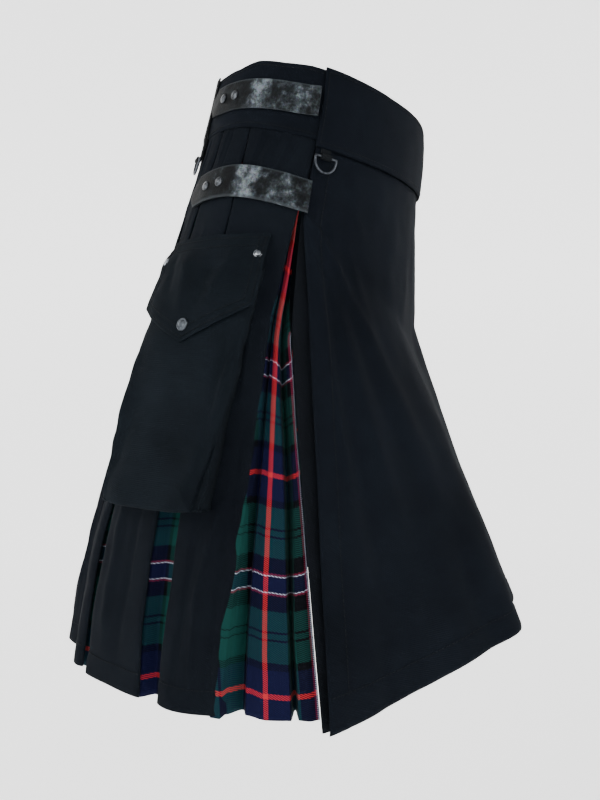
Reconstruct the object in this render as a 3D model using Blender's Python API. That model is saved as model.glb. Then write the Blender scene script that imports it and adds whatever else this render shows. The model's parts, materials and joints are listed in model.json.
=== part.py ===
"""A wrap kilt with a plain apron, leather straps, bag pockets and checked cloth let into its pleats.

It is filled out as it is worn. Metres, +Z up. The wearer would face -Y, so the wearer's right is -X.
The origin is the middle of the ring that the waist's top edge makes, where a wearer holds it up.
Angles run round the body in degrees: 0 is the right side, 90 the front, -90 the back, -180 the left side.
"""
import math

import bmesh
import bpy
from mathutils import Vector

# Cloth, leather and seams
PLEAT_WALL = 0.0018
INSERT_WALL = 0.0014
APRON_WALL = 0.0018
BAND_WALL = 0.0028
POCKET_WALL = 0.0018
FLAP_WALL = 0.0024
STRAP_WALL = 0.0025
SEAM_GAP = 0.0003
LAY_GAP = 0.0005

# Waist: the top edge is tilted down to the front and nearly level round the back
TILT = math.tan(math.radians(14.0))
WAIST_BACK_RISE = 0.009
APRON_BAND_DEPTH = 0.073
BACK_BAND_DEPTH = 0.066
BAND_PROUD = 0.001
BAND_LAP_ANGLE = 9.0
FRONT_BAND_COLUMNS = 32
FRONT_BAND_OVERHANG = 0.8
BACK_BAND_COLUMNS = 48
BACK_BAND_TOP_DROP = 0.0015
APRON_EDGE_ANGLE = 21.0

# The body under the cloth, as the reach of its skin to the side, the front and the back
BODY_ROWS = (
    # height, side, front, back
    (0.040, 0.150, 0.112, 0.100),
    (0.000, 0.156, 0.113, 0.107),
    (-0.045, 0.163, 0.114, 0.118),
    (-0.100, 0.174, 0.109, 0.132),
    (-0.165, 0.187, 0.108, 0.152),
    (-0.255, 0.205, 0.118, 0.182),
    (-0.350, 0.222, 0.148, 0.210),
    (-0.450, 0.240, 0.183, 0.240),
    (-0.530, 0.252, 0.210, 0.259),
    (-0.620, 0.263, 0.236, 0.270),
)

# Hem heights of the pleats, at the apron's edge and round the back
HEM_BY_APRON = -0.583
HEM_AT_BACK = -0.577
HEM_TURN = -32.0
INSERT_HEM_DROP = 0.002

# Black pleats of the right side and the centre back, by the angles of their two edges
PLEAT_ROWS = (
    # name, front top, front middle, front hem, back top, back middle, back hem, columns
    ("a", 22.0, 9.6, -1.0, -12.6, -12.0, -16.6, 8),
    ("b", -13.4, -18.8, -20.8, -31.0, -38.6, -41.0, 5),
    ("c", -31.8, -41.2, -44.4, -47.0, -53.2, -56.6, 4),
    ("d", -47.8, -55.8, -59.6, -63.4, -68.2, -70.4, 4),
    ("e", -64.2, -70.6, -73.4, -79.8, -81.8, -83.0, 4),
    ("f", -80.6, -84.0, -85.8, -99.4, -96.0, -94.2, 4),
)
PLEAT_STEPS = 10
PLEAT_SWELL = 0.003
PLEAT_SEWN_SHARE = 0.15

# Checked inserts: they run behind the pleats' edges and fold inwards between them
INSERT_GAP = 0.0008
UNDERLAP_ANGLE = 2.4
INSERT_STEPS = 9
INSERT_START = 0.06
SEAM_ANGLE = 0.16
VALLEY_DEPTH = 0.016
NARROW_FOLD_START = 0.30
NARROW_FOLD_SHOULDER = 0.15
SIDE_INSERT_START = 0.10
NARROWEST_INSERT = 3.2
SIDE_SEAM_ANGLES = (19.7, 20.0, 18.7)
SIDE_INSERT_FOLDS = (
    # share of the opening, depth at the hem
    (0.00, 0.004),
    (0.17, 0.025),
    (0.27, 0.010),
    (0.46, 0.002),
    (0.64, 0.003),
    (0.73, 0.015),
    (0.82, 0.004),
    (0.92, 0.002),
    (1.00, 0.005),
)

# Lines down the apron, from its edge to the centre front
APRON_LINES = (
    # waist angle, out at the waist, hip crease x, y, z, hem x, y, z
    (21.0, 0.0025, -0.1733, -0.0262, -0.150, -0.243, -0.067, -0.5940),
    (36.0, 0.0000, -0.1540, -0.0530, -0.178, -0.197, -0.108, -0.5850),
    (50.0, 0.0000, -0.1255, -0.0760, -0.205, -0.151, -0.148, -0.5730),
    (64.0, 0.0000, -0.0880, -0.0918, -0.230, -0.105, -0.188, -0.5605),
    (77.0, 0.0000, -0.0470, -0.1010, -0.248, -0.060, -0.222, -0.5500),
    (90.0, 0.0000, 0.0000, -0.1030, -0.256, 0.000, -0.2165, -0.5480),
)
LEFT_THIGH_REACH = 0.89
CREASE_SOFTNESS = 0.006
STEPS_ABOVE_CREASE = 5
STEPS_BELOW_CREASE = 11
APRON_SPLITS = 3
APRON_FOLDS = (
    # share across at the hip, share across at the hem, width, height, first and last share down
    (0.030, 0.075, 0.030, 0.0035, 0.18, 0.98),
    (0.070, 0.190, 0.035, 0.0030, 0.20, 0.90),
    (0.110, 0.330, 0.040, 0.0025, 0.22, 0.75),
)
UNDER_GAP_TOP = 0.0012
UNDER_GAP_HEM = 0.0070
UNDER_THINNING = 2

# Leather straps on each side
STRAP_ROWS = (
    # name, rear angle, front angle, drop of the top edge at the rear, middle and front, width
    ("upper", -46.0, 18.6, 0.0185, 0.0190, 0.0165, 0.029),
    ("lower", -42.0, 21.2, 0.1120, 0.1030, 0.1060, 0.031),
)
STRAP_COLUMNS = 14
STRAP_GAP = 0.0009
STRAP_END_ROUND = 0.34
STRAP_FRONT_LIFT = 0.0030
STUD_SHARES = (0.20, 0.335)
STUD_RADIUS = 0.0046
STUD_HEIGHT = 0.0022

# Rings that hang from cloth tabs, one by the apron's edge and one at the back of each side
RING_WIDTH = 0.022
RING_DROP = 0.015
RING_WIRE = 0.0012
RING_SIDES = 6
RING_BAR_POINTS = 3
RING_BOW_POINTS = 13
RING_BOW_FULLNESS = 0.8
FRONT_RING_ACROSS = 0.028
FRONT_RING_DOWN = 0.036
FRONT_TAB_TOP_DOWN = 0.002
FRONT_TAB_WIDTH = 0.010
BACK_RING_ANGLE = -49.8
BACK_RING_HEIGHT = -0.079
BACK_RING_SLOPE_STEP = 0.01
BACK_TAB_WIDTH = 0.012
BACK_TAB_TOP_DROP = 0.003
BACK_TAB_BELOW_SEAM = 0.004
BACK_TAB_ABOVE_SEAM = 0.001
TAB_WALL = 0.0012
TAB_TAIL_WALL = 0.0016
TAB_CLEARANCE = 0.0005
TAB_OPEN_END = math.radians(20.0)
TAB_SEWN_END = math.radians(270.0)
TAB_SIDES = 9

# Bag pockets with pointed flaps, one on each side
POCKET_TOP = -0.200
POCKET_BOTTOM = -0.411
POCKET_MIDDLE_ANGLES = (-14.9, -19.6)
POCKET_WIDTH = 0.116
POCKET_DEPTH_TOP = 0.008
POCKET_DEPTH_BOTTOM = 0.026
POCKET_COLUMNS = 9
POCKET_STEPS = 8
POCKET_FOOT_DROP = 0.003
FLAP_TOP = -0.170
FLAP_SIDE = -0.233
FLAP_TIP = -0.2665
FLAP_MIDDLE_ANGLES = (-17.6, -17.2)
FLAP_TIP_SHIFT = 2.3
FLAP_WIDTH = 0.127
FLAP_SEWN = 0.027
FLAP_COLUMNS = 9
FLAP_STEPS = 6
RIVET_COLUMN = 0.5
RIVET_ROW = 1.5
SNAP_ROW_FROM_TIP = 0.8
RIVET_RADIUS = 0.0046
SNAP_RADIUS = 0.0062
BUTTON_HEIGHT = 0.0022
BUTTON_SIDES = 12

COLOURS = {
    # name: red, green, blue, roughness, metallic
    "black_cotton": (0.012, 0.014, 0.018, 0.85, 0.0),
    "checked_wool": (0.008, 0.045, 0.042, 0.85, 0.0),
    "black_leather": (0.030, 0.032, 0.035, 0.40, 0.0),
    "dark_metal": (0.10, 0.10, 0.11, 0.35, 0.9),
}


def clear_scene():
    for item in list(bpy.data.objects):
        bpy.data.objects.remove(item, do_unlink=True)


def material(name):
    found = bpy.data.materials.get(name)
    if found:
        return found
    made = bpy.data.materials.new(name)
    made.use_nodes = True
    shader = made.node_tree.nodes["Principled BSDF"]
    red, green, blue, roughness, metallic = COLOURS[name]
    shader.inputs["Base Color"].default_value = (red, green, blue, 1.0)
    shader.inputs["Roughness"].default_value = roughness
    shader.inputs["Metallic"].default_value = metallic
    return made


def blend(first, last, share):
    return first + (last - first) * share


def ease(share):
    share = min(max(share, 0.0), 1.0)
    return share * share * (3.0 - 2.0 * share)


def through_three(top, middle, low, share):
    """Value at a share of the way down of the parabola through a top, a middle and a low value."""
    return (
        top * (1.0 - 2.0 * share) * (1.0 - share)
        + middle * 4.0 * share * (1.0 - share)
        + low * share * (2.0 * share - 1.0)
    )


def smooth_between(before, first, last, after, share):
    """Cubic curve from first to last whose slopes come from the values before and after them."""
    slope_in = (last - before) / 2.0
    slope_out = (after - first) / 2.0
    square = share * share
    cube = square * share
    return (
        first * (2.0 * cube - 3.0 * square + 1.0)
        + slope_in * (cube - 2.0 * square + share)
        + last * (3.0 * square - 2.0 * cube)
        + slope_out * (cube - square)
    )


def body_reach(height):
    """Side, front and back reach of the body at a height, straight between the table's rows."""
    above = BODY_ROWS[0]
    for below in BODY_ROWS[1:]:
        if height >= below[0] or below is BODY_ROWS[-1]:
            share = (above[0] - height) / (above[0] - below[0])
            return tuple(blend(a, b, share) for a, b in zip(above[1:], below[1:]))
        above = below
    return above[1:]


def on_body(angle, height, out=0.0):
    """Point on the body at an angle and a height, moved outwards in its level plane."""
    side, front, back = body_reach(height)
    turn = math.radians(angle)
    middle = (back - front) / 2.0
    half = (back + front) / 2.0
    point = Vector((-side * math.cos(turn), middle - half * math.sin(turn), height))
    outwards = Vector((-half * math.cos(turn), -side * math.sin(turn), 0.0)).normalized()
    return point + outwards * out


def right_angle_of(angle):
    """The angle on the right side, or at the front or back middle, that mirrors an angle on the left."""
    if angle < -90.0:
        return -180.0 - angle
    if angle > 90.0:
        return 180.0 - angle
    return angle


def mirrored_angle(angle):
    return -180.0 - angle


def waist_height(angle):
    rise = on_body(angle, 0.0).y * TILT
    return rise if rise < 0.0 else WAIST_BACK_RISE * math.tanh(rise / WAIST_BACK_RISE)


def seam_height(angle):
    return waist_height(angle) - BACK_BAND_DEPTH


def hem_height(angle):
    share = ease((right_angle_of(angle) - HEM_TURN) / (APRON_EDGE_ANGLE - HEM_TURN))
    return blend(HEM_AT_BACK, HEM_BY_APRON, share)


def cloth(name, rows, wall, finish, smooth=True):
    """Wall of cloth from rows of outer points, given top to bottom and with the angle growing."""
    mesh = bpy.data.meshes.new(name)
    sheet = bmesh.new()
    grid = [[sheet.verts.new(point) for point in row] for row in rows]
    for upper, lower in zip(grid, grid[1:]):
        for column in range(len(upper) - 1):
            sheet.faces.new((upper[column], lower[column], lower[column + 1], upper[column + 1]))
    sheet.to_mesh(mesh)
    sheet.free()
    if smooth:
        mesh.shade_smooth()
    mesh.materials.append(material(finish))
    made = bpy.data.objects.new(name, mesh)
    bpy.context.collection.objects.link(made)
    solid = made.modifiers.new("wall", "SOLIDIFY")
    solid.thickness = wall
    solid.offset = -1.0
    solid.use_even_offset = True
    solid.use_quality_normals = True
    return made


def solid_from(name, sheet, finish):
    """Object from a closed bmesh, with its faces turned outwards."""
    bmesh.ops.recalc_face_normals(sheet, faces=sheet.faces[:])
    mesh = bpy.data.meshes.new(name)
    sheet.to_mesh(mesh)
    sheet.free()
    mesh.shade_smooth()
    mesh.set_sharp_from_angle(angle=math.radians(40.0))
    mesh.materials.append(material(finish))
    made = bpy.data.objects.new(name, mesh)
    bpy.context.collection.objects.link(made)
    return made


def on_right(angle):
    return angle


def sides():
    """Name of each side, and the rule that places an angle of the right side on it."""
    return (("right", on_right), ("left", mirrored_angle))


def span(first, last, count):
    return [blend(first, last, index / count) for index in range(count + 1)]


def pleat_edges(row, down):
    """Angles of a pleat's back and front edges at a share of the way down."""
    return through_three(*row[4:7], down), through_three(*row[1:4], down)


def pleat_swell(share, down):
    """How far a pleat's middle stands out from its two edges, below where the pleats are sewn down."""
    free = max(0.0, down - PLEAT_SEWN_SHARE) / (1.0 - PLEAT_SEWN_SHARE)
    return PLEAT_SWELL * free * 4.0 * max(0.0, share * (1.0 - share))


def black_pleat(name, row, place):
    rows = []
    for down in span(0.0, 1.0, PLEAT_STEPS):
        back, front = pleat_edges(row, down)
        line = []
        for share in span(0.0, 1.0, row[7]):
            angle = place(blend(back, front, share))
            height = blend(seam_height(angle) - SEAM_GAP, hem_height(angle), down)
            line.append(on_body(angle, height, pleat_swell(share, down)))
        rows.append(line if line_runs_forwards(place) else line[::-1])
    return cloth(name, rows, PLEAT_WALL, "black_cotton")


def pleats_out(angle, height):
    """How far the pleats' outer face stands off the body at an angle of the right side."""
    top = seam_height(angle) - SEAM_GAP
    down = (top - height) / (top - hem_height(angle))
    outs = []
    for row in PLEAT_ROWS:
        back, front = pleat_edges(row, down)
        outs.append(pleat_swell((angle - back) / (front - back), down))
    return max(outs)


def line_runs_forwards(place):
    """Whether growing angles of the right side still grow once they are placed."""
    return place(1.0) > place(0.0)


def black_pleats():
    for row in PLEAT_ROWS:
        if row[0] == "f":
            black_pleat("pleat_back_middle", row, on_right)
            continue
        for side, place in sides():
            black_pleat("pleat_%s_%s" % (side, row[0]), row, place)


def narrow_insert(name, behind, ahead, place):
    """Checked strip that shows between two pleats and folds inwards there."""
    inner = PLEAT_WALL + INSERT_GAP
    rows = []
    for down in span(INSERT_START, 1.0, INSERT_STEPS):
        _, far = pleat_edges(ahead, down)
        near, _ = pleat_edges(behind, down)
        depth = VALLEY_DEPTH * down
        line = (
            (far - UNDERLAP_ANGLE, inner),
            (far, inner + NARROW_FOLD_SHOULDER * depth),
            (blend(far, near, NARROW_FOLD_START), inner + depth),
            (blend(near, far, NARROW_FOLD_START), inner + depth),
            (near, inner + NARROW_FOLD_SHOULDER * depth),
            (near + UNDERLAP_ANGLE, inner),
        )
        points = [insert_point(place(angle), down, -inwards) for angle, inwards in line]
        rows.append(points if line_runs_forwards(place) else points[::-1])
    return cloth(name, rows, INSERT_WALL, "checked_wool")


def insert_point(angle, down, out):
    top = seam_height(angle) - SEAM_GAP
    return on_body(angle, blend(top, hem_height(angle) - INSERT_HEM_DROP, down), out)


def narrow_inserts():
    for behind, ahead in zip(PLEAT_ROWS, PLEAT_ROWS[1:]):
        for side, place in sides():
            narrow_insert("insert_%s_%s%s" % (side, behind[0], ahead[0]), behind, ahead, place)


def side_seam_angle(down):
    """Angle of the seam where the wide insert meets the under apron."""
    return through_three(*SIDE_SEAM_ANGLES, down)


def under_gap(down):
    """How far the under apron's face lies below the outer apron's face."""
    return APRON_WALL + blend(UNDER_GAP_TOP, UNDER_GAP_HEM, down)


def side_insert(name, place):
    """The wide checked insert between pleat a and the under apron's edge."""
    inner = PLEAT_WALL + INSERT_GAP
    rows = []
    for down in span(SIDE_INSERT_START, 1.0, INSERT_STEPS + 1):
        seam = side_seam_angle(down)
        _, front = pleat_edges(PLEAT_ROWS[0], down)
        edge = min(front, seam - NARROWEST_INSERT)
        line = [(edge - UNDERLAP_ANGLE, inner)]
        for share, depth in SIDE_INSERT_FOLDS:
            line.append((blend(edge, seam, share), max(inner, under_gap(down)) + depth * down))
        points = [insert_point(place(angle), down, -inwards) for angle, inwards in line]
        rows.append(points if line_runs_forwards(place) else points[::-1])
    return cloth(name, rows, INSERT_WALL, "checked_wool")


def soft_ramp(length):
    """The length where it is positive and zero where it is not, with a soft turn between."""
    return (length + math.sqrt(length * length + CREASE_SOFTNESS * CREASE_SOFTNESS)) / 2.0


def apron_line_point(row, step, reach):
    """Point on one of the apron's lines: down the hip to its crease, then straight to the hem.

    The hem stands forward of the crease by the table's distance times the reach.
    """
    angle, out, crease_x, crease_y, crease_z, hem_x, hem_y, hem_z = row
    top = on_body(angle, waist_height(angle) - APRON_BAND_DEPTH - SEAM_GAP, out)
    crease = Vector((crease_x, crease_y, crease_z))
    hem = Vector((hem_x, blend(crease_y, hem_y, reach), hem_z))
    if step < STEPS_ABOVE_CREASE:
        height = blend(top.z, crease_z, step / STEPS_ABOVE_CREASE)
    else:
        height = blend(crease_z, hem_z, (step - STEPS_ABOVE_CREASE) / STEPS_BELOW_CREASE)
    above = soft_ramp(height - crease_z) / soft_ramp(top.z - crease_z)
    below = soft_ramp(crease_z - height) / soft_ramp(crease_z - hem_z)
    point = crease + (top - crease) * above + (hem - crease) * below
    point.z = height
    return point


def mirrored(point):
    return Vector((-point.x, point.y, point.z))


def apron_row(step):
    """One line across the apron from its right edge to its left, as a smooth curve through its lines."""
    right = [apron_line_point(row, step, 1.0) for row in APRON_LINES]
    left = []
    for index, row in enumerate(APRON_LINES[:-1]):
        reach = blend(1.0, LEFT_THIGH_REACH, ease(index / 2.0))
        left.append(apron_line_point(row, step, reach))
    knots = right + [mirrored(point) for point in left[::-1]]
    ends = [knots[0] * 2.0 - knots[1]] + knots + [knots[-1] * 2.0 - knots[-2]]
    points = []
    for index in range(1, len(ends) - 2):
        for split in range(APRON_SPLITS):
            points.append(smooth_between(*ends[index - 1:index + 3], split / APRON_SPLITS))
    points.append(knots[-1])
    return points


def grid_normals(rows):
    """Outward direction at each point of a grid of outer points."""
    normals = []
    for r, row in enumerate(rows):
        line = []
        for c in range(len(row)):
            across = row[min(c + 1, len(row) - 1)] - row[max(c - 1, 0)]
            along = rows[min(r + 1, len(rows) - 1)][c] - rows[max(r - 1, 0)][c]
            line.append(along.cross(across).normalized())
        normals.append(line)
    return normals


def apron_fold_height(across, down):
    """Height of the soft folds that fan out from each hip."""
    share = min(across, 1.0 - across)
    total = 0.0
    for at_hip, at_hem, width, height, first, last in APRON_FOLDS:
        along = (down - first) / (last - first)
        if 0.0 < along < 1.0:
            middle = blend(at_hip, at_hem, along)
            away = (share - middle) / (width * blend(0.5, 1.3, along))
            total += height * math.sin(math.pi * along) * math.exp(-away * away)
    return total


def apron_grid():
    """Rows of the apron's outer points. One row runs along the hip crease."""
    count = STEPS_ABOVE_CREASE + STEPS_BELOW_CREASE
    rows = [apron_row(step) for step in range(count + 1)]
    normals = grid_normals(rows)
    for step, (row, line) in enumerate(zip(rows, normals)):
        for index in range(len(row)):
            across = index / (len(row) - 1)
            row[index] = row[index] + line[index] * apron_fold_height(across, step / count)
    return rows


def aprons(rows):
    cloth("apron_outer", rows, APRON_WALL, "black_cotton")
    under = []
    for row, line in zip(rows, grid_normals(rows)):
        down = (row[0].z - rows[0][0].z) / (rows[-1][0].z - rows[0][0].z)
        inner = [point - normal * under_gap(down) for point, normal in zip(row, line)]
        edge = on_body(side_seam_angle(down) + SEAM_ANGLE, row[0].z, -under_gap(down))
        under.append([edge] + inner[UNDER_THINNING:-1:UNDER_THINNING] + [mirrored(edge)])
    return cloth("apron_under", under, APRON_WALL, "black_cotton")


def band_rows(angles, depth, proud, top_drop=0.0):
    """Rows of a waistband: its top edge, a line in its middle and its bottom edge."""
    rows = []
    for share in (0.0, 0.5, 1.0):
        line = []
        for angle in angles:
            height = blend(waist_height(angle) - top_drop, waist_height(angle) - depth, share)
            line.append(on_body(angle, height, proud(angle)))
        rows.append(line)
    return rows


def front_band_proud(angle):
    """Outer face of the apron's band: it rides over the back band's ends and sinks to the apron."""
    past = (right_angle_of(angle) - APRON_EDGE_ANGLE - BAND_LAP_ANGLE) / BAND_LAP_ANGLE
    under = blend(BAND_PROUD + LAY_GAP, LAY_GAP, ease(past))
    return under + BAND_WALL


def back_band_proud(angle):
    return BAND_PROUD


def waistbands():
    start = APRON_EDGE_ANGLE - FRONT_BAND_OVERHANG
    angles = span(start, mirrored_angle(start) + 360.0, FRONT_BAND_COLUMNS)
    rows = band_rows(angles, APRON_BAND_DEPTH, front_band_proud)
    cloth("waistband_front", rows, BAND_WALL, "black_cotton")
    lap = APRON_EDGE_ANGLE + BAND_LAP_ANGLE
    angles = span(mirrored_angle(lap), lap, BACK_BAND_COLUMNS)
    rows = band_rows(angles, BACK_BAND_DEPTH, back_band_proud, BACK_BAND_TOP_DROP)
    cloth("waistband_back", rows, BAND_WALL, "black_cotton")


def dome(name, centre, outwards, radius, height, finish):
    """Round metal head that sits on a face, thickest in its middle."""
    sheet = bmesh.new()
    profile = ((0.0, height), (0.6, 0.88 * height), (1.0, 0.35 * height), (1.0, 0.0), (0.0, 0.0))
    points = [Vector((share * radius, 0.0, rise)) for share, rise in profile]
    verts = [sheet.verts.new(point) for point in points]
    edges = [sheet.edges.new(pair) for pair in zip(verts, verts[1:])]
    bmesh.ops.spin(
        sheet, geom=verts + edges, cent=(0, 0, 0), axis=(0, 0, 1), angle=math.tau,
        steps=BUTTON_SIDES, use_merge=True,
    )
    bmesh.ops.remove_doubles(sheet, verts=sheet.verts[:], dist=0.00001)
    turn = outwards.to_track_quat("Z", "Y").to_matrix().to_4x4()
    bmesh.ops.transform(sheet, matrix=turn, verts=sheet.verts[:])
    bmesh.ops.translate(sheet, vec=centre, verts=sheet.verts[:])
    return solid_from(name, sheet, finish)


def on_grid(rows, across, down):
    """Point and outward direction on a grid of outer points, at shares across and down it."""
    r = min(int(down * (len(rows) - 1)), len(rows) - 2)
    c = min(int(across * (len(rows[0]) - 1)), len(rows[0]) - 2)
    v = down * (len(rows) - 1) - r
    u = across * (len(rows[0]) - 1) - c
    upper = rows[r][c].lerp(rows[r][c + 1], u)
    lower = rows[r + 1][c].lerp(rows[r + 1][c + 1], u)
    left = rows[r][c].lerp(rows[r + 1][c], v)
    right = rows[r][c + 1].lerp(rows[r + 1][c + 1], v)
    outwards = (lower - upper).cross(right - left).normalized()
    return upper.lerp(lower, v), outwards


def strap_rows(row, place):
    """Outer points of a strap: a band round the side with a rounded rear end."""
    name, rear, front, rear_drop, middle_drop, front_drop, width = row
    proud = STRAP_WALL + STRAP_GAP
    if name == "upper":
        proud += BAND_PROUD
    edges = ([], [], [])
    for share in span(0.0, 1.0, STRAP_COLUMNS):
        angle = blend(rear, front, share)
        top = waist_height(angle) - through_three(rear_drop, middle_drop, front_drop, share)
        lift = STRAP_FRONT_LIFT * max(0.0, 1.0 - (1.0 - share) * STRAP_COLUMNS)
        inset = width * STRAP_END_ROUND * max(0.0, 1.0 - share * STRAP_COLUMNS)
        for line, height in zip(edges, (top - inset, top - width / 2.0, top - width + inset)):
            line.append(on_body(place(angle), height, proud + lift))
    return [line if line_runs_forwards(place) else line[::-1] for line in edges]


def straps():
    for side, place in sides():
        for row in STRAP_ROWS:
            rows = strap_rows(row, place)
            name = "strap_%s_%s" % (row[0], side)
            cloth(name, rows, STRAP_WALL, "black_leather")
            for number, share in enumerate(STUD_SHARES, 1):
                across = share if line_runs_forwards(place) else 1.0 - share
                centre, outwards = on_grid(rows, across, 0.5)
                seat = centre + outwards * SEAM_GAP
                stud = "stud_%s_%s_%d" % (row[0], side, number)
                dome(stud, seat, outwards, STUD_RADIUS, STUD_HEIGHT, "dark_metal")


def frame_at(seat, ahead, outwards):
    """Middle of a ring's bar, with the directions along the bar, down the cloth and outwards."""
    along = (ahead - outwards * ahead.dot(outwards)).normalized()
    down = along.cross(outwards).normalized()
    if down.z > 0.0:
        down = -down
    lift = RING_WIRE + TAB_CLEARANCE + TAB_WALL + LAY_GAP
    return seat + outwards * lift, along, down, outwards


def front_ring_frame(rows, place):
    """Frame of the ring on the apron, whose bar runs along the band's seam."""
    across = FRONT_RING_ACROSS if line_runs_forwards(place) else 1.0 - FRONT_RING_ACROSS
    seat, outwards = on_grid(rows, across, FRONT_RING_DOWN)
    column = int(across * (len(rows[0]) - 1))
    top, _ = on_grid(rows, across, FRONT_TAB_TOP_DOWN)
    return frame_at(seat, rows[0][column + 1] - rows[0][column], outwards), [top]


def back_ring_frame(place):
    """Frame of the ring at the back, and the line up the back band that its tab lies on."""
    angle = place(BACK_RING_ANGLE)
    seat = on_body(angle, BACK_RING_HEIGHT)
    ahead = on_body(angle + 1.0, BACK_RING_HEIGHT) - on_body(angle - 1.0, BACK_RING_HEIGHT)
    above = on_body(angle, BACK_RING_HEIGHT + BACK_RING_SLOPE_STEP)
    below = on_body(angle, BACK_RING_HEIGHT - BACK_RING_SLOPE_STEP)
    outwards = ahead.cross(above - below).normalized()
    if outwards.dot(seat) < 0.0:
        outwards = -outwards
    seam = seam_height(angle)
    waist = waist_height(angle)
    line = [
        on_body(angle, seam - BACK_TAB_BELOW_SEAM),
        on_body(angle, seam + BACK_TAB_ABOVE_SEAM, BAND_PROUD),
        on_body(angle, blend(seam, waist, 0.5), BAND_PROUD),
        on_body(angle, waist - BACK_TAB_TOP_DROP, BAND_PROUD),
    ]
    return frame_at(seat, ahead, outwards), line


def ring_path():
    """Centre line of a ring in its own plane: a straight bar, and a bow that hangs from its ends."""
    half = RING_WIDTH / 2.0
    points = [Vector((x, 0.0)) for x in span(-half, half, RING_BAR_POINTS)]
    for turn in span(0.0, math.pi, RING_BOW_POINTS)[1:-1]:
        drop = RING_DROP * math.sin(turn) ** RING_BOW_FULLNESS
        points.append(Vector((half * math.cos(turn), drop)))
    return points


def ring(name, frame):
    centre, along, down, outwards = frame
    path = ring_path()
    sheet = bmesh.new()
    loops = []
    for index, point in enumerate(path):
        ahead = path[(index + 1) % len(path)] - path[index - 1]
        side = Vector((-ahead.y, ahead.x)).normalized()
        loop = []
        for step in range(RING_SIDES):
            turn = math.tau * step / RING_SIDES
            flat = point + side * (RING_WIRE * math.cos(turn))
            rise = RING_WIRE * math.sin(turn)
            loop.append(sheet.verts.new(centre + along * flat.x + down * flat.y + outwards * rise))
        loops.append(loop)
    for index, loop in enumerate(loops):
        after = loops[(index + 1) % len(loops)]
        for step in range(RING_SIDES):
            ahead = (step + 1) % RING_SIDES
            sheet.faces.new((loop[step], loop[ahead], after[ahead], after[step]))
    return solid_from(name, sheet, "dark_metal")


def ring_tab(name, frame, line, width):
    """Cloth tab: a tail that runs down the cloth along a line and turns up round the ring's bar."""
    centre, along, down, outwards = frame
    hole = RING_WIRE + TAB_CLEARANCE
    outside = []
    inside = []
    for turn in span(TAB_OPEN_END, TAB_SEWN_END, TAB_SIDES):
        ray = outwards * math.sin(turn) - down * math.cos(turn)
        outside.append(centre + ray * (hole + TAB_WALL))
        inside.append(centre + ray * hole)
    past_ring = -down * (hole + TAB_WALL)
    outside.append(outside[-1] + past_ring)
    inside.append(inside[-1] + past_ring)
    for point in line:
        outside.append(point + outwards * LAY_GAP)
        inside.append(point + outwards * (LAY_GAP + TAB_TAIL_WALL))
    sheet = bmesh.new()
    half = along * (width / 2.0)
    sections = []
    for outer, inner in zip(outside, inside):
        corners = (outer - half, outer + half, inner + half, inner - half)
        sections.append([sheet.verts.new(corner) for corner in corners])
    for before, after in zip(sections, sections[1:]):
        for corner in range(4):
            ahead = (corner + 1) % 4
            sheet.faces.new((before[corner], before[ahead], after[ahead], after[corner]))
    sheet.faces.new(sections[0])
    sheet.faces.new(sections[-1])
    return solid_from(name, sheet, "black_cotton")


def rings(rows):
    for side, place in sides():
        frame, line = front_ring_frame(rows, place)
        ring("ring_front_%s" % side, frame)
        ring_tab("ring_tab_front_%s" % side, frame, line, FRONT_TAB_WIDTH)
        frame, line = back_ring_frame(place)
        ring("ring_back_%s" % side, frame)
        ring_tab("ring_tab_back_%s" % side, frame, line, BACK_TAB_WIDTH)


def arc_angle(length, angle, height):
    """Degrees that a length takes up round the body near an angle at a height."""
    step = (on_body(angle + 0.5, height) - on_body(angle - 0.5, height)).length
    return length / step


def pocket_depth(height):
    """How far the bag's front stands off the cloth behind it."""
    share = min(max((POCKET_TOP - height) / (POCKET_TOP - POCKET_BOTTOM), 0.0), 1.0)
    return blend(POCKET_DEPTH_TOP, POCKET_DEPTH_BOTTOM, math.sin(share * math.pi / 2.0))


def pocket_rows(place):
    """Outer points of a bag pocket: side walls, a front and a bottom wall, open at its top."""
    rows = []
    for step in range(POCKET_STEPS + 2):
        share = min(step / POCKET_STEPS, 1.0)
        height = blend(POCKET_TOP, POCKET_BOTTOM, share)
        depth = pocket_depth(height)
        if step > POCKET_STEPS:
            depth = LAY_GAP
            height -= POCKET_FOOT_DROP
        middle = blend(*POCKET_MIDDLE_ANGLES, share)
        half = arc_angle(POCKET_WIDTH, middle, height) / 2.0
        line = []
        for column in range(-1, POCKET_COLUMNS + 2):
            across = min(max(column / POCKET_COLUMNS, 0.0), 1.0)
            edge = column < 0 or column > POCKET_COLUMNS
            angle = blend(middle - half, middle + half, across)
            out = pleats_out(angle, height) + (LAY_GAP if edge else depth)
            line.append(on_body(place(angle), height, out))
        rows.append(line if line_runs_forwards(place) else line[::-1])
    return rows


def flap_rows(place):
    """Outer points of a flap: sewn on above the pocket, over its front, and down to a point."""
    rows = []
    for step in range(FLAP_STEPS + 1):
        share = step / FLAP_STEPS
        line = []
        for column in range(FLAP_COLUMNS + 1):
            across = column / FLAP_COLUMNS
            low = blend(FLAP_TIP, FLAP_SIDE, abs(2.0 * across - 1.0))
            height = blend(FLAP_TOP, low, share)
            middle = blend(*FLAP_MIDDLE_ANGLES, share)
            half = arc_angle(FLAP_WIDTH, middle, height) / 2.0
            point_shift = FLAP_TIP_SHIFT * share * (1.0 - abs(2.0 * across - 1.0))
            angle = middle + blend(-half, half, across) + point_shift
            over = ease((FLAP_TOP - height) / FLAP_SEWN)
            lift = blend(LAY_GAP, pocket_depth(height) + 2.0 * LAY_GAP, over)
            out = pleats_out(angle, height) + lift + FLAP_WALL
            line.append(on_body(place(angle), height, out))
        rows.append(line if line_runs_forwards(place) else line[::-1])
    return rows


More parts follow.
